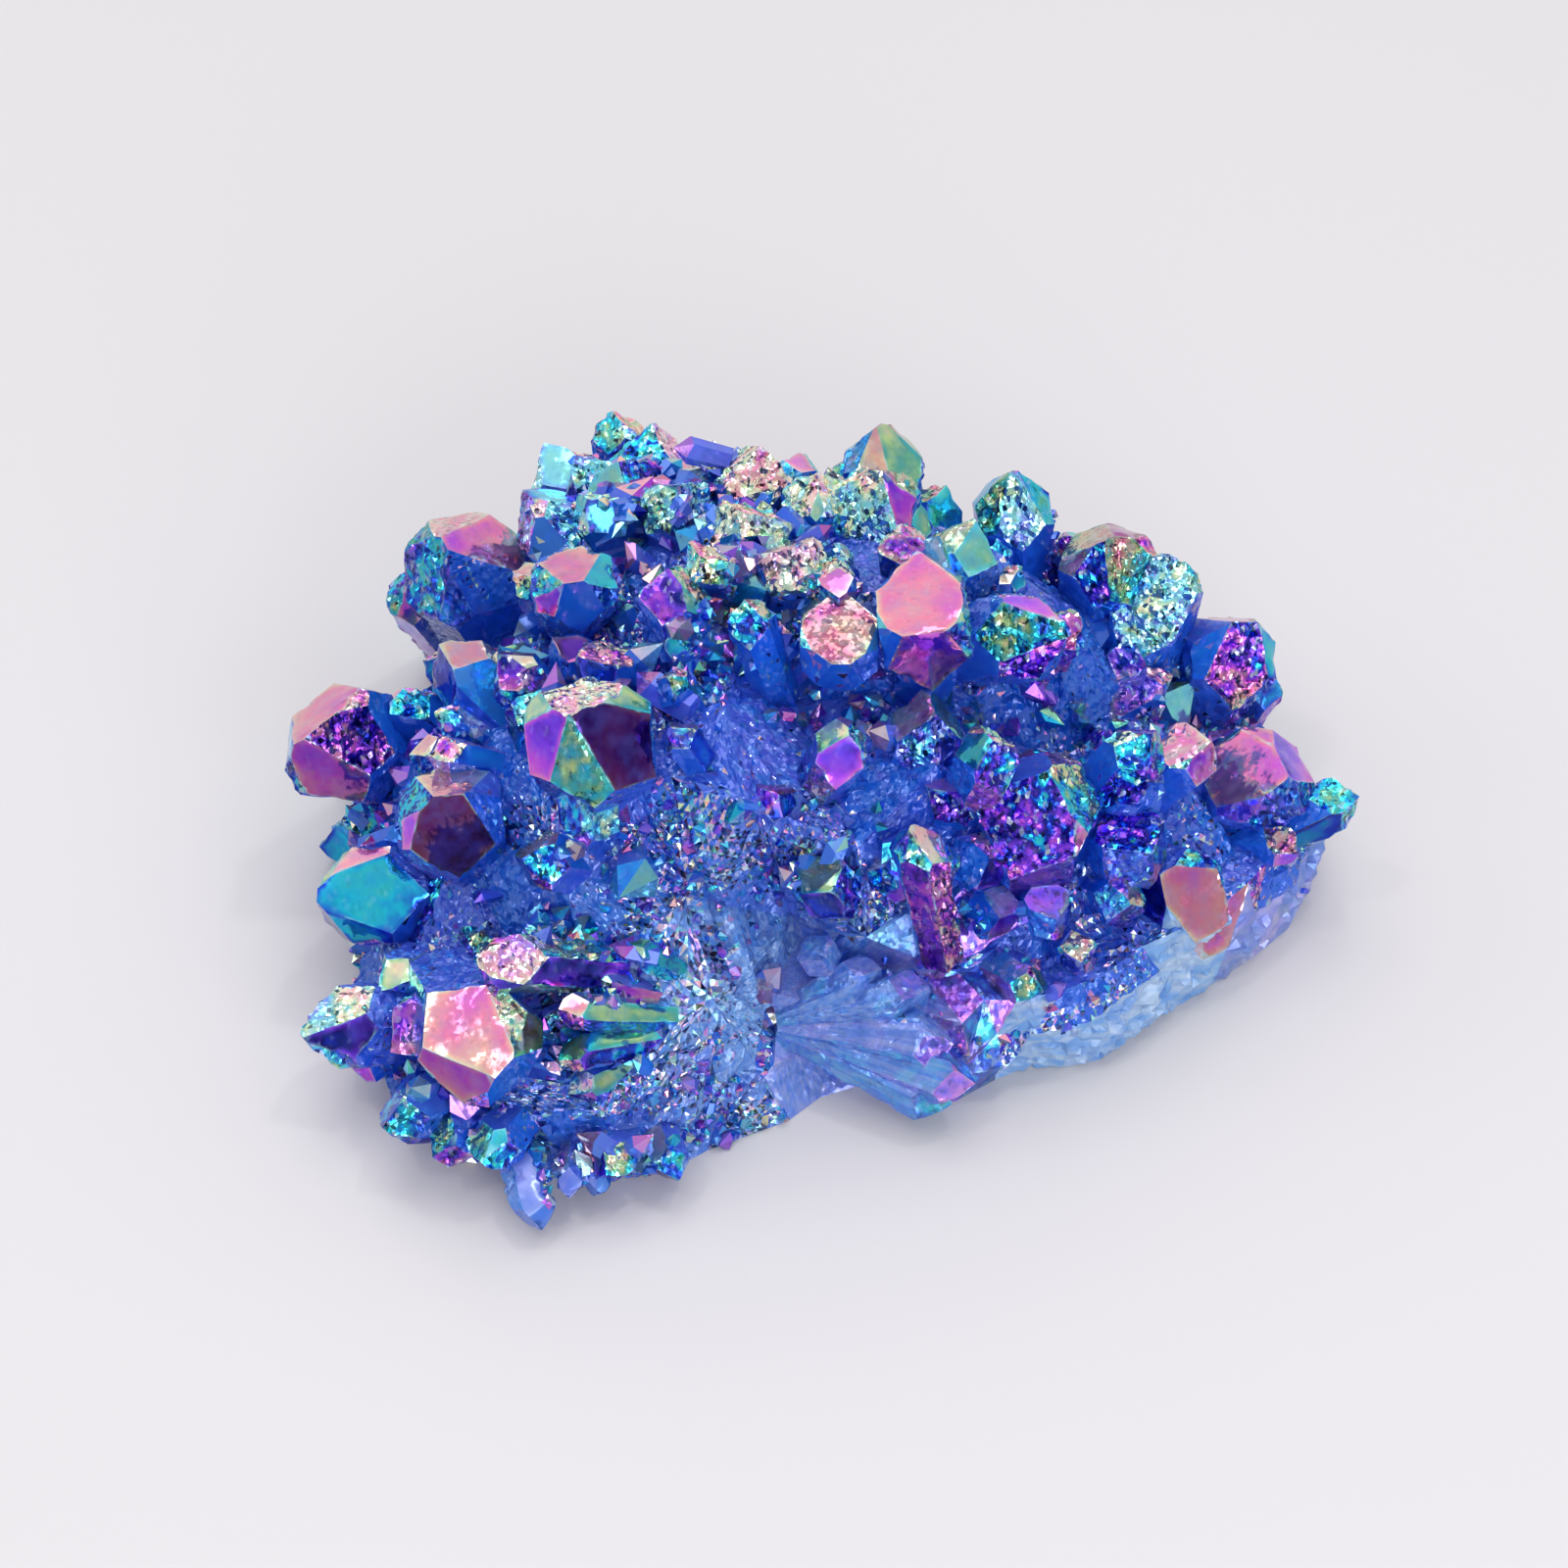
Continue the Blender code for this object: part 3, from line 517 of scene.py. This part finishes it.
out_from = np.linalg.norm(from_root, axis=1)
rays = np.stack([turn_angle * 6.0, out_from * 0.06, np.zeros(len(points))], 1)
slope = at_points((on_body & (kind == GLITTER)).astype(float))
slope *= np.interp(out_from, [2, 6, 15, 19], [0.2, 1, 1, 0]) * (points[:, 1] < -6)
push += slope * (0.9 * np.abs(grain(rays, 0.9, 35)) - 0.25)
chip = np.clip(1 - rim / CHIP_REACH, 0, 1) * np.clip(grain(points, 1.1, 41) + 0.1, 0, 1)
push -= chip * CHIP_DEPTH
push *= part[BASE] == 0
points = points + outward * np.clip(push, DEEPEST, PROUDEST)[:, None]
low, high = (np.array(c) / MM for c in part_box("quartz_cluster"))
points = np.clip(points, low, high)

# The film thins a little down each warm face, and single glints lie where druse is thick, each with its
# own film colour and a painted dark or bright tone as a painted reflection.
# SUGARED says where it is thick, and where the stone is bare and smooth: middle, reach, how much.
SUGARED = [
    ((-7.5, -10.5, 20.0), 5.0, 0.9), ((-6.5, -13.5, 15.0), 4.0, 0.8), ((-9.5, -17.0, 10.0), 4.0, 0.6),
    ((-9.5, -24.0, 3.5), 5.0, 0.9), ((17.5, -10.5, 13.5), 4.5, 0.7), ((8.5, -6.0, 19.0), 4.5, -1.2),
    ((0.0, -8.5, 15.5), 3.5, -0.8), ((18.5, -2.5, 17.5), 3.5, -1.0),
]


def sugar_at(places, thinnest):
    """How thick the druse lies at each place, from thinnest to 1."""
    thick = grain(places, 4.2, 141) * 1.5 + 0.25
    for spot, reach, much in SUGARED:
        thick += much * np.exp(-(distance(places, spot) / reach) ** 2)
    return np.clip(thick, thinnest, 1)


middle = points[corners].mean(1)
height = middle[:, 2]
facet_top, facet_foot = np.full(facet_count, -99.0), np.full(facet_count, 99.0)
np.maximum.at(facet_top, facet, height)
np.minimum.at(facet_foot, facet, height)
fall = (facet_top[facet] - height) / np.maximum(facet_top - facet_foot, 1.5)[facet]
thinning = np.where(kind[facet] == GLITTER, 0.24, 0.14) * (fall - 0.2)
film_here = film[facet] - thinning * (coat[facet] > 0.5) * (film[facet] > 0.4)
GLINTS = np.array([0.06, 0.20, 0.22, 0.28, 0.36, 0.48, 0.60, 0.70, 0.80, 0.90])
ON_BODY, ON_SIDES = 0.72, 0.12
patchy = sugar_at(middle, 0.02)
rough = (on_body & (kind == GLITTER))[facet]
side = ~on_body & (tip_face < 0.3) & (kind != RIND) & (kind != BASE) & (coat < 0.4)
often = np.where(rough, ON_BODY * patchy, np.where(side[facet], ON_SIDES * patchy, 0.0))
glint = scattered(len(corners), 143) < often
pick = (scattered(len(corners), 145) * len(GLINTS)).astype(int)
film_here = np.where(glint, GLINTS[pick], film_here)
coat_here = np.where(glint, 0.55 + 0.43 * scattered(len(corners), 147), coat[facet])
bright = scattered(len(corners), 149)
# a third of the glints are painted dark and the rest painted bright: painted reflections of dark and lit
# surroundings
tone_and_painted_light_here = np.where(glint, np.where(bright < 0.35, 0.12, 0.75 + 0.8 * bright), tone_and_painted_light[facet])


def built(name, points, corners):
    """A flat-faced mesh object in metres from points in mm."""
    mesh = bpy.data.meshes.new(name)
    mesh.vertices.add(len(points))
    mesh.vertices.foreach_set("co", (points * MM).astype(np.float32).reshape(-1))
    mesh.loops.add(len(corners) * 3)
    mesh.loops.foreach_set("vertex_index", corners.astype(np.int32).reshape(-1))
    mesh.polygons.add(len(corners))
    mesh.polygons.foreach_set("loop_start", np.arange(0, len(corners) * 3, 3, dtype=np.int32))
    mesh.update(calc_edges=True)
    mesh.shade_flat()
    made = bpy.data.objects.new(name, mesh)
    bpy.context.scene.collection.objects.link(made)
    return made


def note(piece, name, values, domain="FACE"):
    """Stores one number for each face or point of a piece, for its material to read."""
    layer = piece.data.attributes.new(name, "FLOAT", domain)
    layer.data.foreach_set("value", np.asarray(values, np.float32))


rock = built("quartz_rock", points, corners)
rock.data.polygons.foreach_set("use_smooth", (kind == MIRROR)[facet])
made_edges = np.empty(len(rock.data.edges) * 2, np.int32)
rock.data.edges.foreach_get("vertices", made_edges)
made_edges = np.sort(made_edges.reshape(-1, 2), axis=1).astype(np.int64)
key = edges[:, 0] * len(points) + edges[:, 1]
row = np.searchsorted(key, made_edges[:, 0] * len(points) + made_edges[:, 1])
sharp = rock.data.attributes.new("sharp_edge", "BOOLEAN", "EDGE")
sharp.data.foreach_set("value", creased[row])
SPARKLE = np.array([0.10, 0.5, 1.0, 0.25, 0.10])
note(rock, "film", film_here)
note(rock, "coat", coat_here)
note(rock, "sparkle", SPARKLE[kind[facet]])
note(rock, "milky", milky[facet])
note(rock, "tone_and_painted_light", tone_and_painted_light_here)
note(rock, "rim", rim, "POINT")


class Maker:
    """Short ways to add and join the nodes of one material."""

    def __init__(self, name):
        self.material = bpy.data.materials.new(name)
        self.material.use_nodes = True
        self.nodes, self.links = self.material.node_tree.nodes, self.material.node_tree.links
        self.shader, self.out = self.nodes["Principled BSDF"], self.nodes["Material Output"]

    def add(self, kind, **settings):
        made = self.nodes.new(kind)
        for key, value in settings.items():
            setattr(made, key, value)
        return made

    def set(self, socket, value):
        if hasattr(value, "is_output"):
            self.links.new(value, socket)
        else:
            socket.default_value = value

    def math(self, operation, *values, clamp=False):
        made = self.add("ShaderNodeMath", operation=operation, use_clamp=clamp)
        for socket, value in zip(made.inputs, values):
            self.set(socket, value)
        return made.outputs[0]

    def vector(self, operation, *values, scale=None):
        made = self.add("ShaderNodeVectorMath", operation=operation)
        for socket, value in zip(made.inputs, values):
            self.set(socket, value)
        if scale is not None:
            self.set(made.inputs["Scale"], scale)
        return made.outputs[0]

    def mix(self, factor, a, b):
        made = self.add("ShaderNodeMix", data_type="RGBA", blend_type="MIX")
        self.set(made.inputs["Factor"], factor)
        self.set(made.inputs["A"], a)
        self.set(made.inputs["B"], b)
        return made.outputs["Result"]

    def read(self, name):
        return self.add("ShaderNodeAttribute", attribute_name=name).outputs["Fac"]

    def noise(self, place, scale, detail=2, output="Fac"):
        made = self.add("ShaderNodeTexNoise")
        made.inputs["Scale"].default_value, made.inputs["Detail"].default_value = scale, detail
        self.links.new(place, made.inputs["Vector"])
        return made.outputs[output]

    def cells(self, place, scale):
        made = self.add("ShaderNodeTexVoronoi")
        made.inputs["Scale"].default_value = scale
        self.links.new(place, made.inputs["Vector"])
        return made.outputs["Color"]


# The film's colours in the order it takes them as it thickens, then the stone's own blues, and
# how many washes, patches, ripples, blotches and flakes go to a metre.
RAINBOW = [(0.00, (0.010, 0.010, 0.17)), (0.08, (0.020, 0.060, 0.75)), (0.18, (0.020, 0.62, 0.86)),
           (0.27, (0.06, 0.66, 0.62)), (0.34, (0.16, 0.58, 0.38)), (0.42, (0.58, 0.85, 0.36)),
           (0.50, (0.95, 0.82, 0.50)), (0.59, (0.93, 0.48, 0.40)), (0.68, (0.90, 0.26, 0.44)),
           (0.80, (0.58, 0.08, 0.78)), (0.90, (0.20, 0.04, 0.85)), (1.00, (0.010, 0.010, 0.17))]
BODY_BLUE = (0.020, 0.22, 1.0, 1)
BODY_DEEP = (0.010, 0.10, 0.90, 1)
RIND_BLUE = (0.24, 0.54, 1.0, 1)
RIND_WHITE = (0.58, 0.80, 1.0, 1)
# whites for painted highlights: paler faces, flashes and the light edge
WHITE = (1, 1, 1, 1)
PAINTED_FLASH_WHITE = (0.85, 1, 1, 1)
EDGE_LIGHT = (0.45, 0.95, 1.0, 1)
MIDDLE = (0.5, 0.5, 0.5)
WASHES, RIM_PATCHES, RIPPLES, BLOTCHES, FLAKES = 240, 420, 700, 900, 3300
FULL_METAL = 0.92
POLISH, MILKY_ROUGHNESS = 0.11, 0.28
QUARTZ_IOR = 1.544
CLOUD_COLOUR, CLOUD_DENSITY = (0.45, 0.66, 1.0, 1), 60


def coated_quartz(name):
    """Blue-bodied quartz under a rainbow metal film."""
    m = Maker(name)
    place = m.add("ShaderNodeTexCoord").outputs["Object"]
    sparkle, coat, milky, tone_and_painted_light = (m.read(word) for word in ("sparkle", "coat", "milky", "tone_and_painted_light"))
    blotch = m.noise(place, BLOTCHES, 1)
    flakes = m.cells(m.vector("MULTIPLY", place, (1.0, 1.0, 0.55)), FLAKES)
    flake = m.add("ShaderNodeSeparateColor")
    m.links.new(flakes, flake.inputs[0])

    # where in its order of colours the film is: washes, a turn of hue at broken rims, flakes
    wash = m.math("SUBTRACT", m.noise(place, WASHES), 0.5)
    near_rim = m.math("SUBTRACT", 1.0, m.math("DIVIDE", m.read("rim"), 0.5), clamp=True)
    broken = m.math("MULTIPLY_ADD", m.noise(place, RIM_PATCHES, 1), 3.0, -1.0, clamp=True)
    near_rim = m.math("MULTIPLY", near_rim, broken)
    order = m.math("MULTIPLY", wash, m.math("MULTIPLY_ADD", sparkle, 0.40, 0.28))
    order = m.math("ADD", m.read("film"), order)
    order = m.math("SUBTRACT", order, m.math("MULTIPLY", near_rim, 0.15))
    jitter = m.math("MULTIPLY_ADD", flake.outputs[0], 0.10, m.math("MULTIPLY_ADD", blotch, 0.75, -0.42))
    order = m.math("ADD", order, m.math("MULTIPLY", jitter, sparkle))
    ramp = m.add("ShaderNodeValToRGB")
    band = ramp.color_ramp
    while len(band.elements) < len(RAINBOW):
        band.elements.new(0.5)
    for element, (at, colour) in zip(band.elements, RAINBOW):
        element.position, element.color = at, (*colour, 1)
    m.links.new(m.math("FRACT", m.math("ADD", order, 1.0)), ramp.inputs[0])

    # the stone under the film, with pale rays from the root of the fan where it is milky
    body = m.mix(blotch, BODY_BLUE, BODY_DEEP)
    ray = m.vector("NORMALIZE", m.vector("SUBTRACT", place, tuple(FAN_ROOT * MM)))
    streak = m.math("MULTIPLY_ADD", m.noise(ray, 26, 3), 5.0, -2.1, clamp=True)
    body = m.mix(milky, body, m.mix(streak, RIND_BLUE, RIND_WHITE))

    # the film's metal: faces painted paler or darker as painted reflections, painted white flashes,
    # painted dark flakes and a thin painted highlight along the edges
    patch = m.math("MULTIPLY_ADD", blotch, 0.5, 0.75)
    patch = m.math("MULTIPLY", coat, patch, clamp=True)
    metal = m.mix(m.math("SUBTRACT", tone_and_painted_light, 1.0, clamp=True), ramp.outputs["Color"], WHITE)
    painted_flash = m.math("MULTIPLY", m.math("MULTIPLY_ADD", flake.outputs[1], 6.0, -5.0, clamp=True), sparkle)
    metal = m.mix(m.math("MULTIPLY", painted_flash, 0.65), metal, PAINTED_FLASH_WHITE)
    painted_dark_flake = m.math("MULTIPLY", m.math("MULTIPLY_ADD", flake.outputs[2], -10.0, 1.3, clamp=True), sparkle)
    dark = m.math("MULTIPLY", m.math("MINIMUM", tone_and_painted_light, 1.0), m.math("MULTIPLY_ADD", painted_dark_flake, -0.88, 1.0))
    metal = m.vector("SCALE", metal, scale=dark)
    # a thin painted highlight along the creases, shown in patches where the coat lies
    lit_edge = m.math("SUBTRACT", 1.0, m.math("DIVIDE", m.read("rim"), 0.15), clamp=True)
    edge_highlight_patches = m.math("MULTIPLY", coat, m.math("MULTIPLY_ADD", blotch, 4.0, -1.7, clamp=True))
    lit_edge = m.math("MULTIPLY", lit_edge, m.math("MULTIPLY", edge_highlight_patches, 0.6))
    metal = m.mix(lit_edge, metal, EDGE_LIGHT)

    # each flake and ripple leans the surface a little its own way
    lean = m.vector("SUBTRACT", flakes, MIDDLE)
    lean = m.vector("SCALE", lean, scale=m.math("MULTIPLY", sparkle, 0.50))
    ripple = m.vector("SUBTRACT", m.noise(place, RIPPLES, 3, "Color"), MIDDLE)
    ripple = m.vector("SCALE", ripple, scale=m.math("MULTIPLY_ADD", sparkle, 0.45, 0.14))
    own = m.add("ShaderNodeNewGeometry").outputs["Normal"]
    leaning = m.vector("NORMALIZE", m.vector("ADD", own, m.vector("ADD", lean, ripple)))

    m.set(m.shader.inputs["Base Color"], m.mix(patch, body, metal))
    m.set(m.shader.inputs["Metallic"], m.math("MULTIPLY", patch, FULL_METAL))
    m.set(m.shader.inputs["Roughness"], m.math("MULTIPLY_ADD", milky, MILKY_ROUGHNESS, POLISH))
    m.set(m.shader.inputs["Normal"], leaning)
    m.shader.inputs["IOR"].default_value = QUARTZ_IOR
    m.shader.inputs["Transmission Weight"].default_value = 0.5
    cloud = m.add("ShaderNodeVolumeAbsorption")
    cloud.inputs["Color"].default_value = CLOUD_COLOUR
    cloud.inputs["Density"].default_value = CLOUD_DENSITY
    m.links.new(cloud.outputs[0], m.out.inputs["Volume"])
    return m.material


coat_material = coated_quartz("aura_coated_quartz")
rock.data.materials.append(coat_material)
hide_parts("quartz_cluster")
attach(rock, "root")

# The small points: the same quartz, grown later in the gaps between the large points. They stand
# up to a few millimetres clear, each fused to the rock by its foot.
dice = np.random.default_rng(77)
ground = tri_area * np.interp(facet_open[rock_facet], [0.05, 0.2, 0.42, 0.52], [0.0, 0.7, 1.0, 0.12])
ground *= np.where(tip_face[rock_facet] > 0.3, 0.0, 1.0)
ground *= np.interp(tri_normal[:, 2], [-0.2, 0.1], [0.0, 1.0])
ground *= np.where((kind[rock_facet] == RIND) | (kind[rock_facet] == BASE), 0.05, 1.0)
ground *= np.where(right_fan[rock_facet], 0.05, 1.0)
for tip, lean, width, finishes in LARGE_FACES:
    ground *= np.interp(distance(tri_middle, tip), [0.8 * width, 1.3 * width], [0.0, 1.0])

# six sides of two triangles each, six tip faces, and a foot of four
RING = np.arange(6)
NEXT = (RING + 1) % 6
FACES = np.concatenate([np.stack([RING, NEXT, NEXT + 6], 1), np.stack([RING, NEXT + 6, RING + 6], 1),
                        np.stack([RING + 6, NEXT + 6, np.full(6, 12)], 1),
                        np.array([[0, 2, 1], [0, 3, 2], [0, 4, 3], [0, 5, 4]])])
CORNERS_EACH = 13
TAPER = 0.9


def small_crystals(count, weight, middle, spread, tallness, splay, sunk):
    """Points and faces of many small six-sided crystals that grow out of the rock.

    Middle is their usual width in mm, and tallness and sunk are in widths of each.
    """
    chosen = dice.choice(len(rock_corners), count, p=weight / weight.sum())
    u, v = dice.uniform(size=(2, count))
    flip = u + v > 1
    u, v = np.where(flip, 1 - u, u), np.where(flip, 1 - v, v)
    a, b, c = (rock_points[rock_corners[chosen, k]] for k in range(3))
    seat = a + (b - a) * u[:, None] + (c - a) * v[:, None]
    axis = unit(tri_normal[chosen] + 0.3 * unit(seat - HEART) + dice.normal(size=(count, 3)) * splay)
    width = np.exp(dice.normal(math.log(middle), spread, count)).clip(middle * 0.5, middle * 2.4)
    tall = width * dice.uniform(*tallness, count)
    side = unit(np.cross(axis, dice.normal(size=(count, 3))))
    other = np.cross(axis, side)
    angle = np.radians(RING * 60)
    flat = dice.uniform(0.6, 1.0, (count, 1, 1))
    ring = side[:, None] * np.cos(angle)[None, :, None]
    ring = ring + flat * other[:, None] * np.sin(angle)[None, :, None]
    radius = (width / 2)[:, None, None] * dice.uniform(0.85, 1.15, (count, 6, 1))
    foot = seat[:, None] + ring * radius * TAPER - axis[:, None] * (width * sunk)[:, None, None]
    lift = tall[:, None, None] + (width / 2)[:, None, None] * dice.uniform(-0.5, 0.3, (count, 6, 1))
    shoulder = seat[:, None] + ring * radius + axis[:, None] * lift
    skew = side * dice.uniform(-0.3, 0.3, (count, 1)) + other * dice.uniform(-0.3, 0.3, (count, 1))
    tip = seat + axis * (tall + width * 0.5)[:, None] + skew * width[:, None]
    made = np.concatenate([foot, shoulder, tip[:, None]], axis=1)
    corners = FACES[None] + (np.arange(count) * CORNERS_EACH)[:, None, None]
    return np.clip(made.reshape(-1, 3), low, high), corners.reshape(-1, 3)


# the film's colours on the small crystals, how often each comes, and their finish elsewhere
COLOURS = [0.06, 0.20, 0.26, 0.34, 0.48, 0.60, 0.71, 0.80, 0.90]
CHANCES = [0.14, 0.20, 0.14, 0.07, 0.11, 0.09, 0.11, 0.07, 0.07]
SKY_COLOUR = 0.66
SIDE_COAT, CALM = 0.12, 0.12


def dressed(name, crystals, strength):
    """Makes the object and gives each crystal's sides and tip faces their finish."""
    points, corners = crystals
    piece = built(name, points, corners)
    each = len(FACES)
    count = len(corners) // each
    is_tip = np.tile(np.arange(each), count) // 6 == 2
    normal = face_normals(points, corners)[0]
    order = np.repeat(dice.choice(COLOURS, count, p=CHANCES), each)
    order = np.where(normal @ SKYWARD > 0.75, 0.5 * order + 0.5 * SKY_COLOUR, order)
    note(piece, "film", order + dice.normal(size=count * each) * 0.07)
    note(piece, "coat", np.where(is_tip, np.repeat(dice.uniform(*strength, count), each), SIDE_COAT))
    note(piece, "sparkle", np.full(count * each, CALM))
    note(piece, "milky", np.zeros(count * each))
    # a random lightness on each face, where above 1 it is a painted highlight
    note(piece, "tone_and_painted_light", dice.uniform(0.7, 1.25, count * each))
    note(piece, "rim", np.full(len(points), 1.0), "POINT")
    piece.data.materials.append(coat_material)
    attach(piece, "root")


between = ground * np.clip(grain(tri_middle, 7.0, 91) + 0.5, 0.05, 1)
front_slope = (tri_middle[:, 1] < -7) & on_body[rock_facet] & (tri_middle[:, 0] < 1)
between *= np.where(front_slope, 0.45, 1)
for spot, reach, much in SUGARED:
    if much < 0:
        between *= 1 - np.exp(-(distance(tri_middle, spot) / reach) ** 2)
later_points = small_crystals(count=640, weight=between, middle=1.5, spread=0.32,
                              tallness=(0.0, 0.55), splay=0.30, sunk=1.0)
dressed("small_points", later_points, strength=(0.5, 0.98))

# The druse: a crust of tiny quartz tips, half a millimetre wide, that grew last of all over the
# body between the points. It lies in two layers of the same kind.
sugar = ground * np.where(on_body[rock_facet], 2.0, 0.5) * sugar_at(tri_middle, 0.01)
for layer in (1, 2):
    crust = small_crystals(count=2400, weight=sugar, middle=0.55, spread=0.40,
                           tallness=(-0.2, 0.4), splay=0.45, sunk=0.7)
    dressed(f"druse_{layer}", crust, strength=(0.3, 0.98))

# The floor: a wide sheet of pale painted board that the rock stands on. It is a plain stage and no
# part of the rock, and lies a hair below the sawn base.
REACH = 900
BELOW = -0.02
sheet = np.array([[x * REACH, y * REACH, BELOW] for x, y in ((-1, -1), (1, -1), (1, 1), (-1, 1))])
floor = built("pale_floor", sheet, np.array([[0, 1, 2], [0, 2, 3]]))
paint = Maker("floor_white")
paint.shader.inputs["Base Color"].default_value = (0.56, 0.545, 0.55, 1)
paint.shader.inputs["Roughness"].default_value = 0.5
floor.data.materials.append(paint.material)

# The lamps: two broad soft boxes, a window to the left and two small lamps for the glints, in a
# pale room that is a little brighter overhead. Places and widths are in metres, powers in watts.
AIMED_AT = Vector((0, 0, 0.01))


def panel(name, place, size, power, tint=(1, 1, 1)):
    """A soft square light that faces the rock."""
    light = bpy.data.lights.new(name, "AREA")
    light.size, light.energy, light.color = size, power, tint
    made = bpy.data.objects.new(name, light)
    made.location = place
    made.rotation_mode = "QUATERNION"
    made.rotation_quaternion = (AIMED_AT - Vector(place)).to_track_quat("-Z", "Y")
    bpy.context.scene.collection.objects.link(made)


panel("overhead", (-0.10, 0.28, 0.75), 0.50, 1.5)
panel("front_fill", (0.16, -0.46, 0.19), 0.35, 1.7, (0.93, 0.95, 1.0))
panel("left_window", (-0.60, 0.05, 0.40), 0.25, 0.45)
panel("spark_right", (0.22, 0.10, 0.70), 0.05, 0.5)
panel("spark_left", (-0.30, -0.10, 0.70), 0.05, 0.4)

BRIGHTEST_WAY = (-0.15, 0.50, 0.85)
DIMMEST, BRIGHTEST = 0.66, 1.1
world = bpy.data.worlds.new("pale_room")
world.use_nodes = True
room = world.node_tree
way = room.nodes.new("ShaderNodeTexCoord")
toward = room.nodes.new("ShaderNodeVectorMath")
toward.operation = "DOT_PRODUCT"
toward.inputs[1].default_value = BRIGHTEST_WAY
room.links.new(way.outputs["Generated"], toward.inputs[0])
spread = room.nodes.new("ShaderNodeMapRange")
spread.interpolation_type = "SMOOTHSTEP"
spread.inputs["From Min"].default_value = 0.05
spread.inputs["From Max"].default_value = 0.95
spread.inputs["To Min"].default_value = DIMMEST
spread.inputs["To Max"].default_value = BRIGHTEST
room.links.new(toward.outputs["Value"], spread.inputs["Value"])
room.nodes["Background"].inputs["Color"].default_value = (0.97, 0.96, 1.0, 1)
room.links.new(spread.outputs["Result"], room.nodes["Background"].inputs["Strength"])
bpy.context.scene.world = world

# The camera: a portrait lens about a quarter of a metre from the rock, which looks down on it from
# the front at 48 degrees.
AIM = Vector((-0.00281, -0.00163, 0.0136))
STANDPOINT = (-0.00281, -0.17828, 0.20979)
camera = bpy.data.cameras.new("camera")
camera.lens, camera.sensor_width, camera.clip_start = 85, 36, 0.001
eye = bpy.data.objects.new("camera", camera)
eye.location = STANDPOINT
eye.rotation_mode = "QUATERNION"
eye.rotation_quaternion = (AIM - eye.location).to_track_quat("-Z", "Y")
bpy.context.scene.collection.objects.link(eye)
bpy.context.scene.camera = eye
bpy.context.scene.view_settings.view_transform = "Standard"
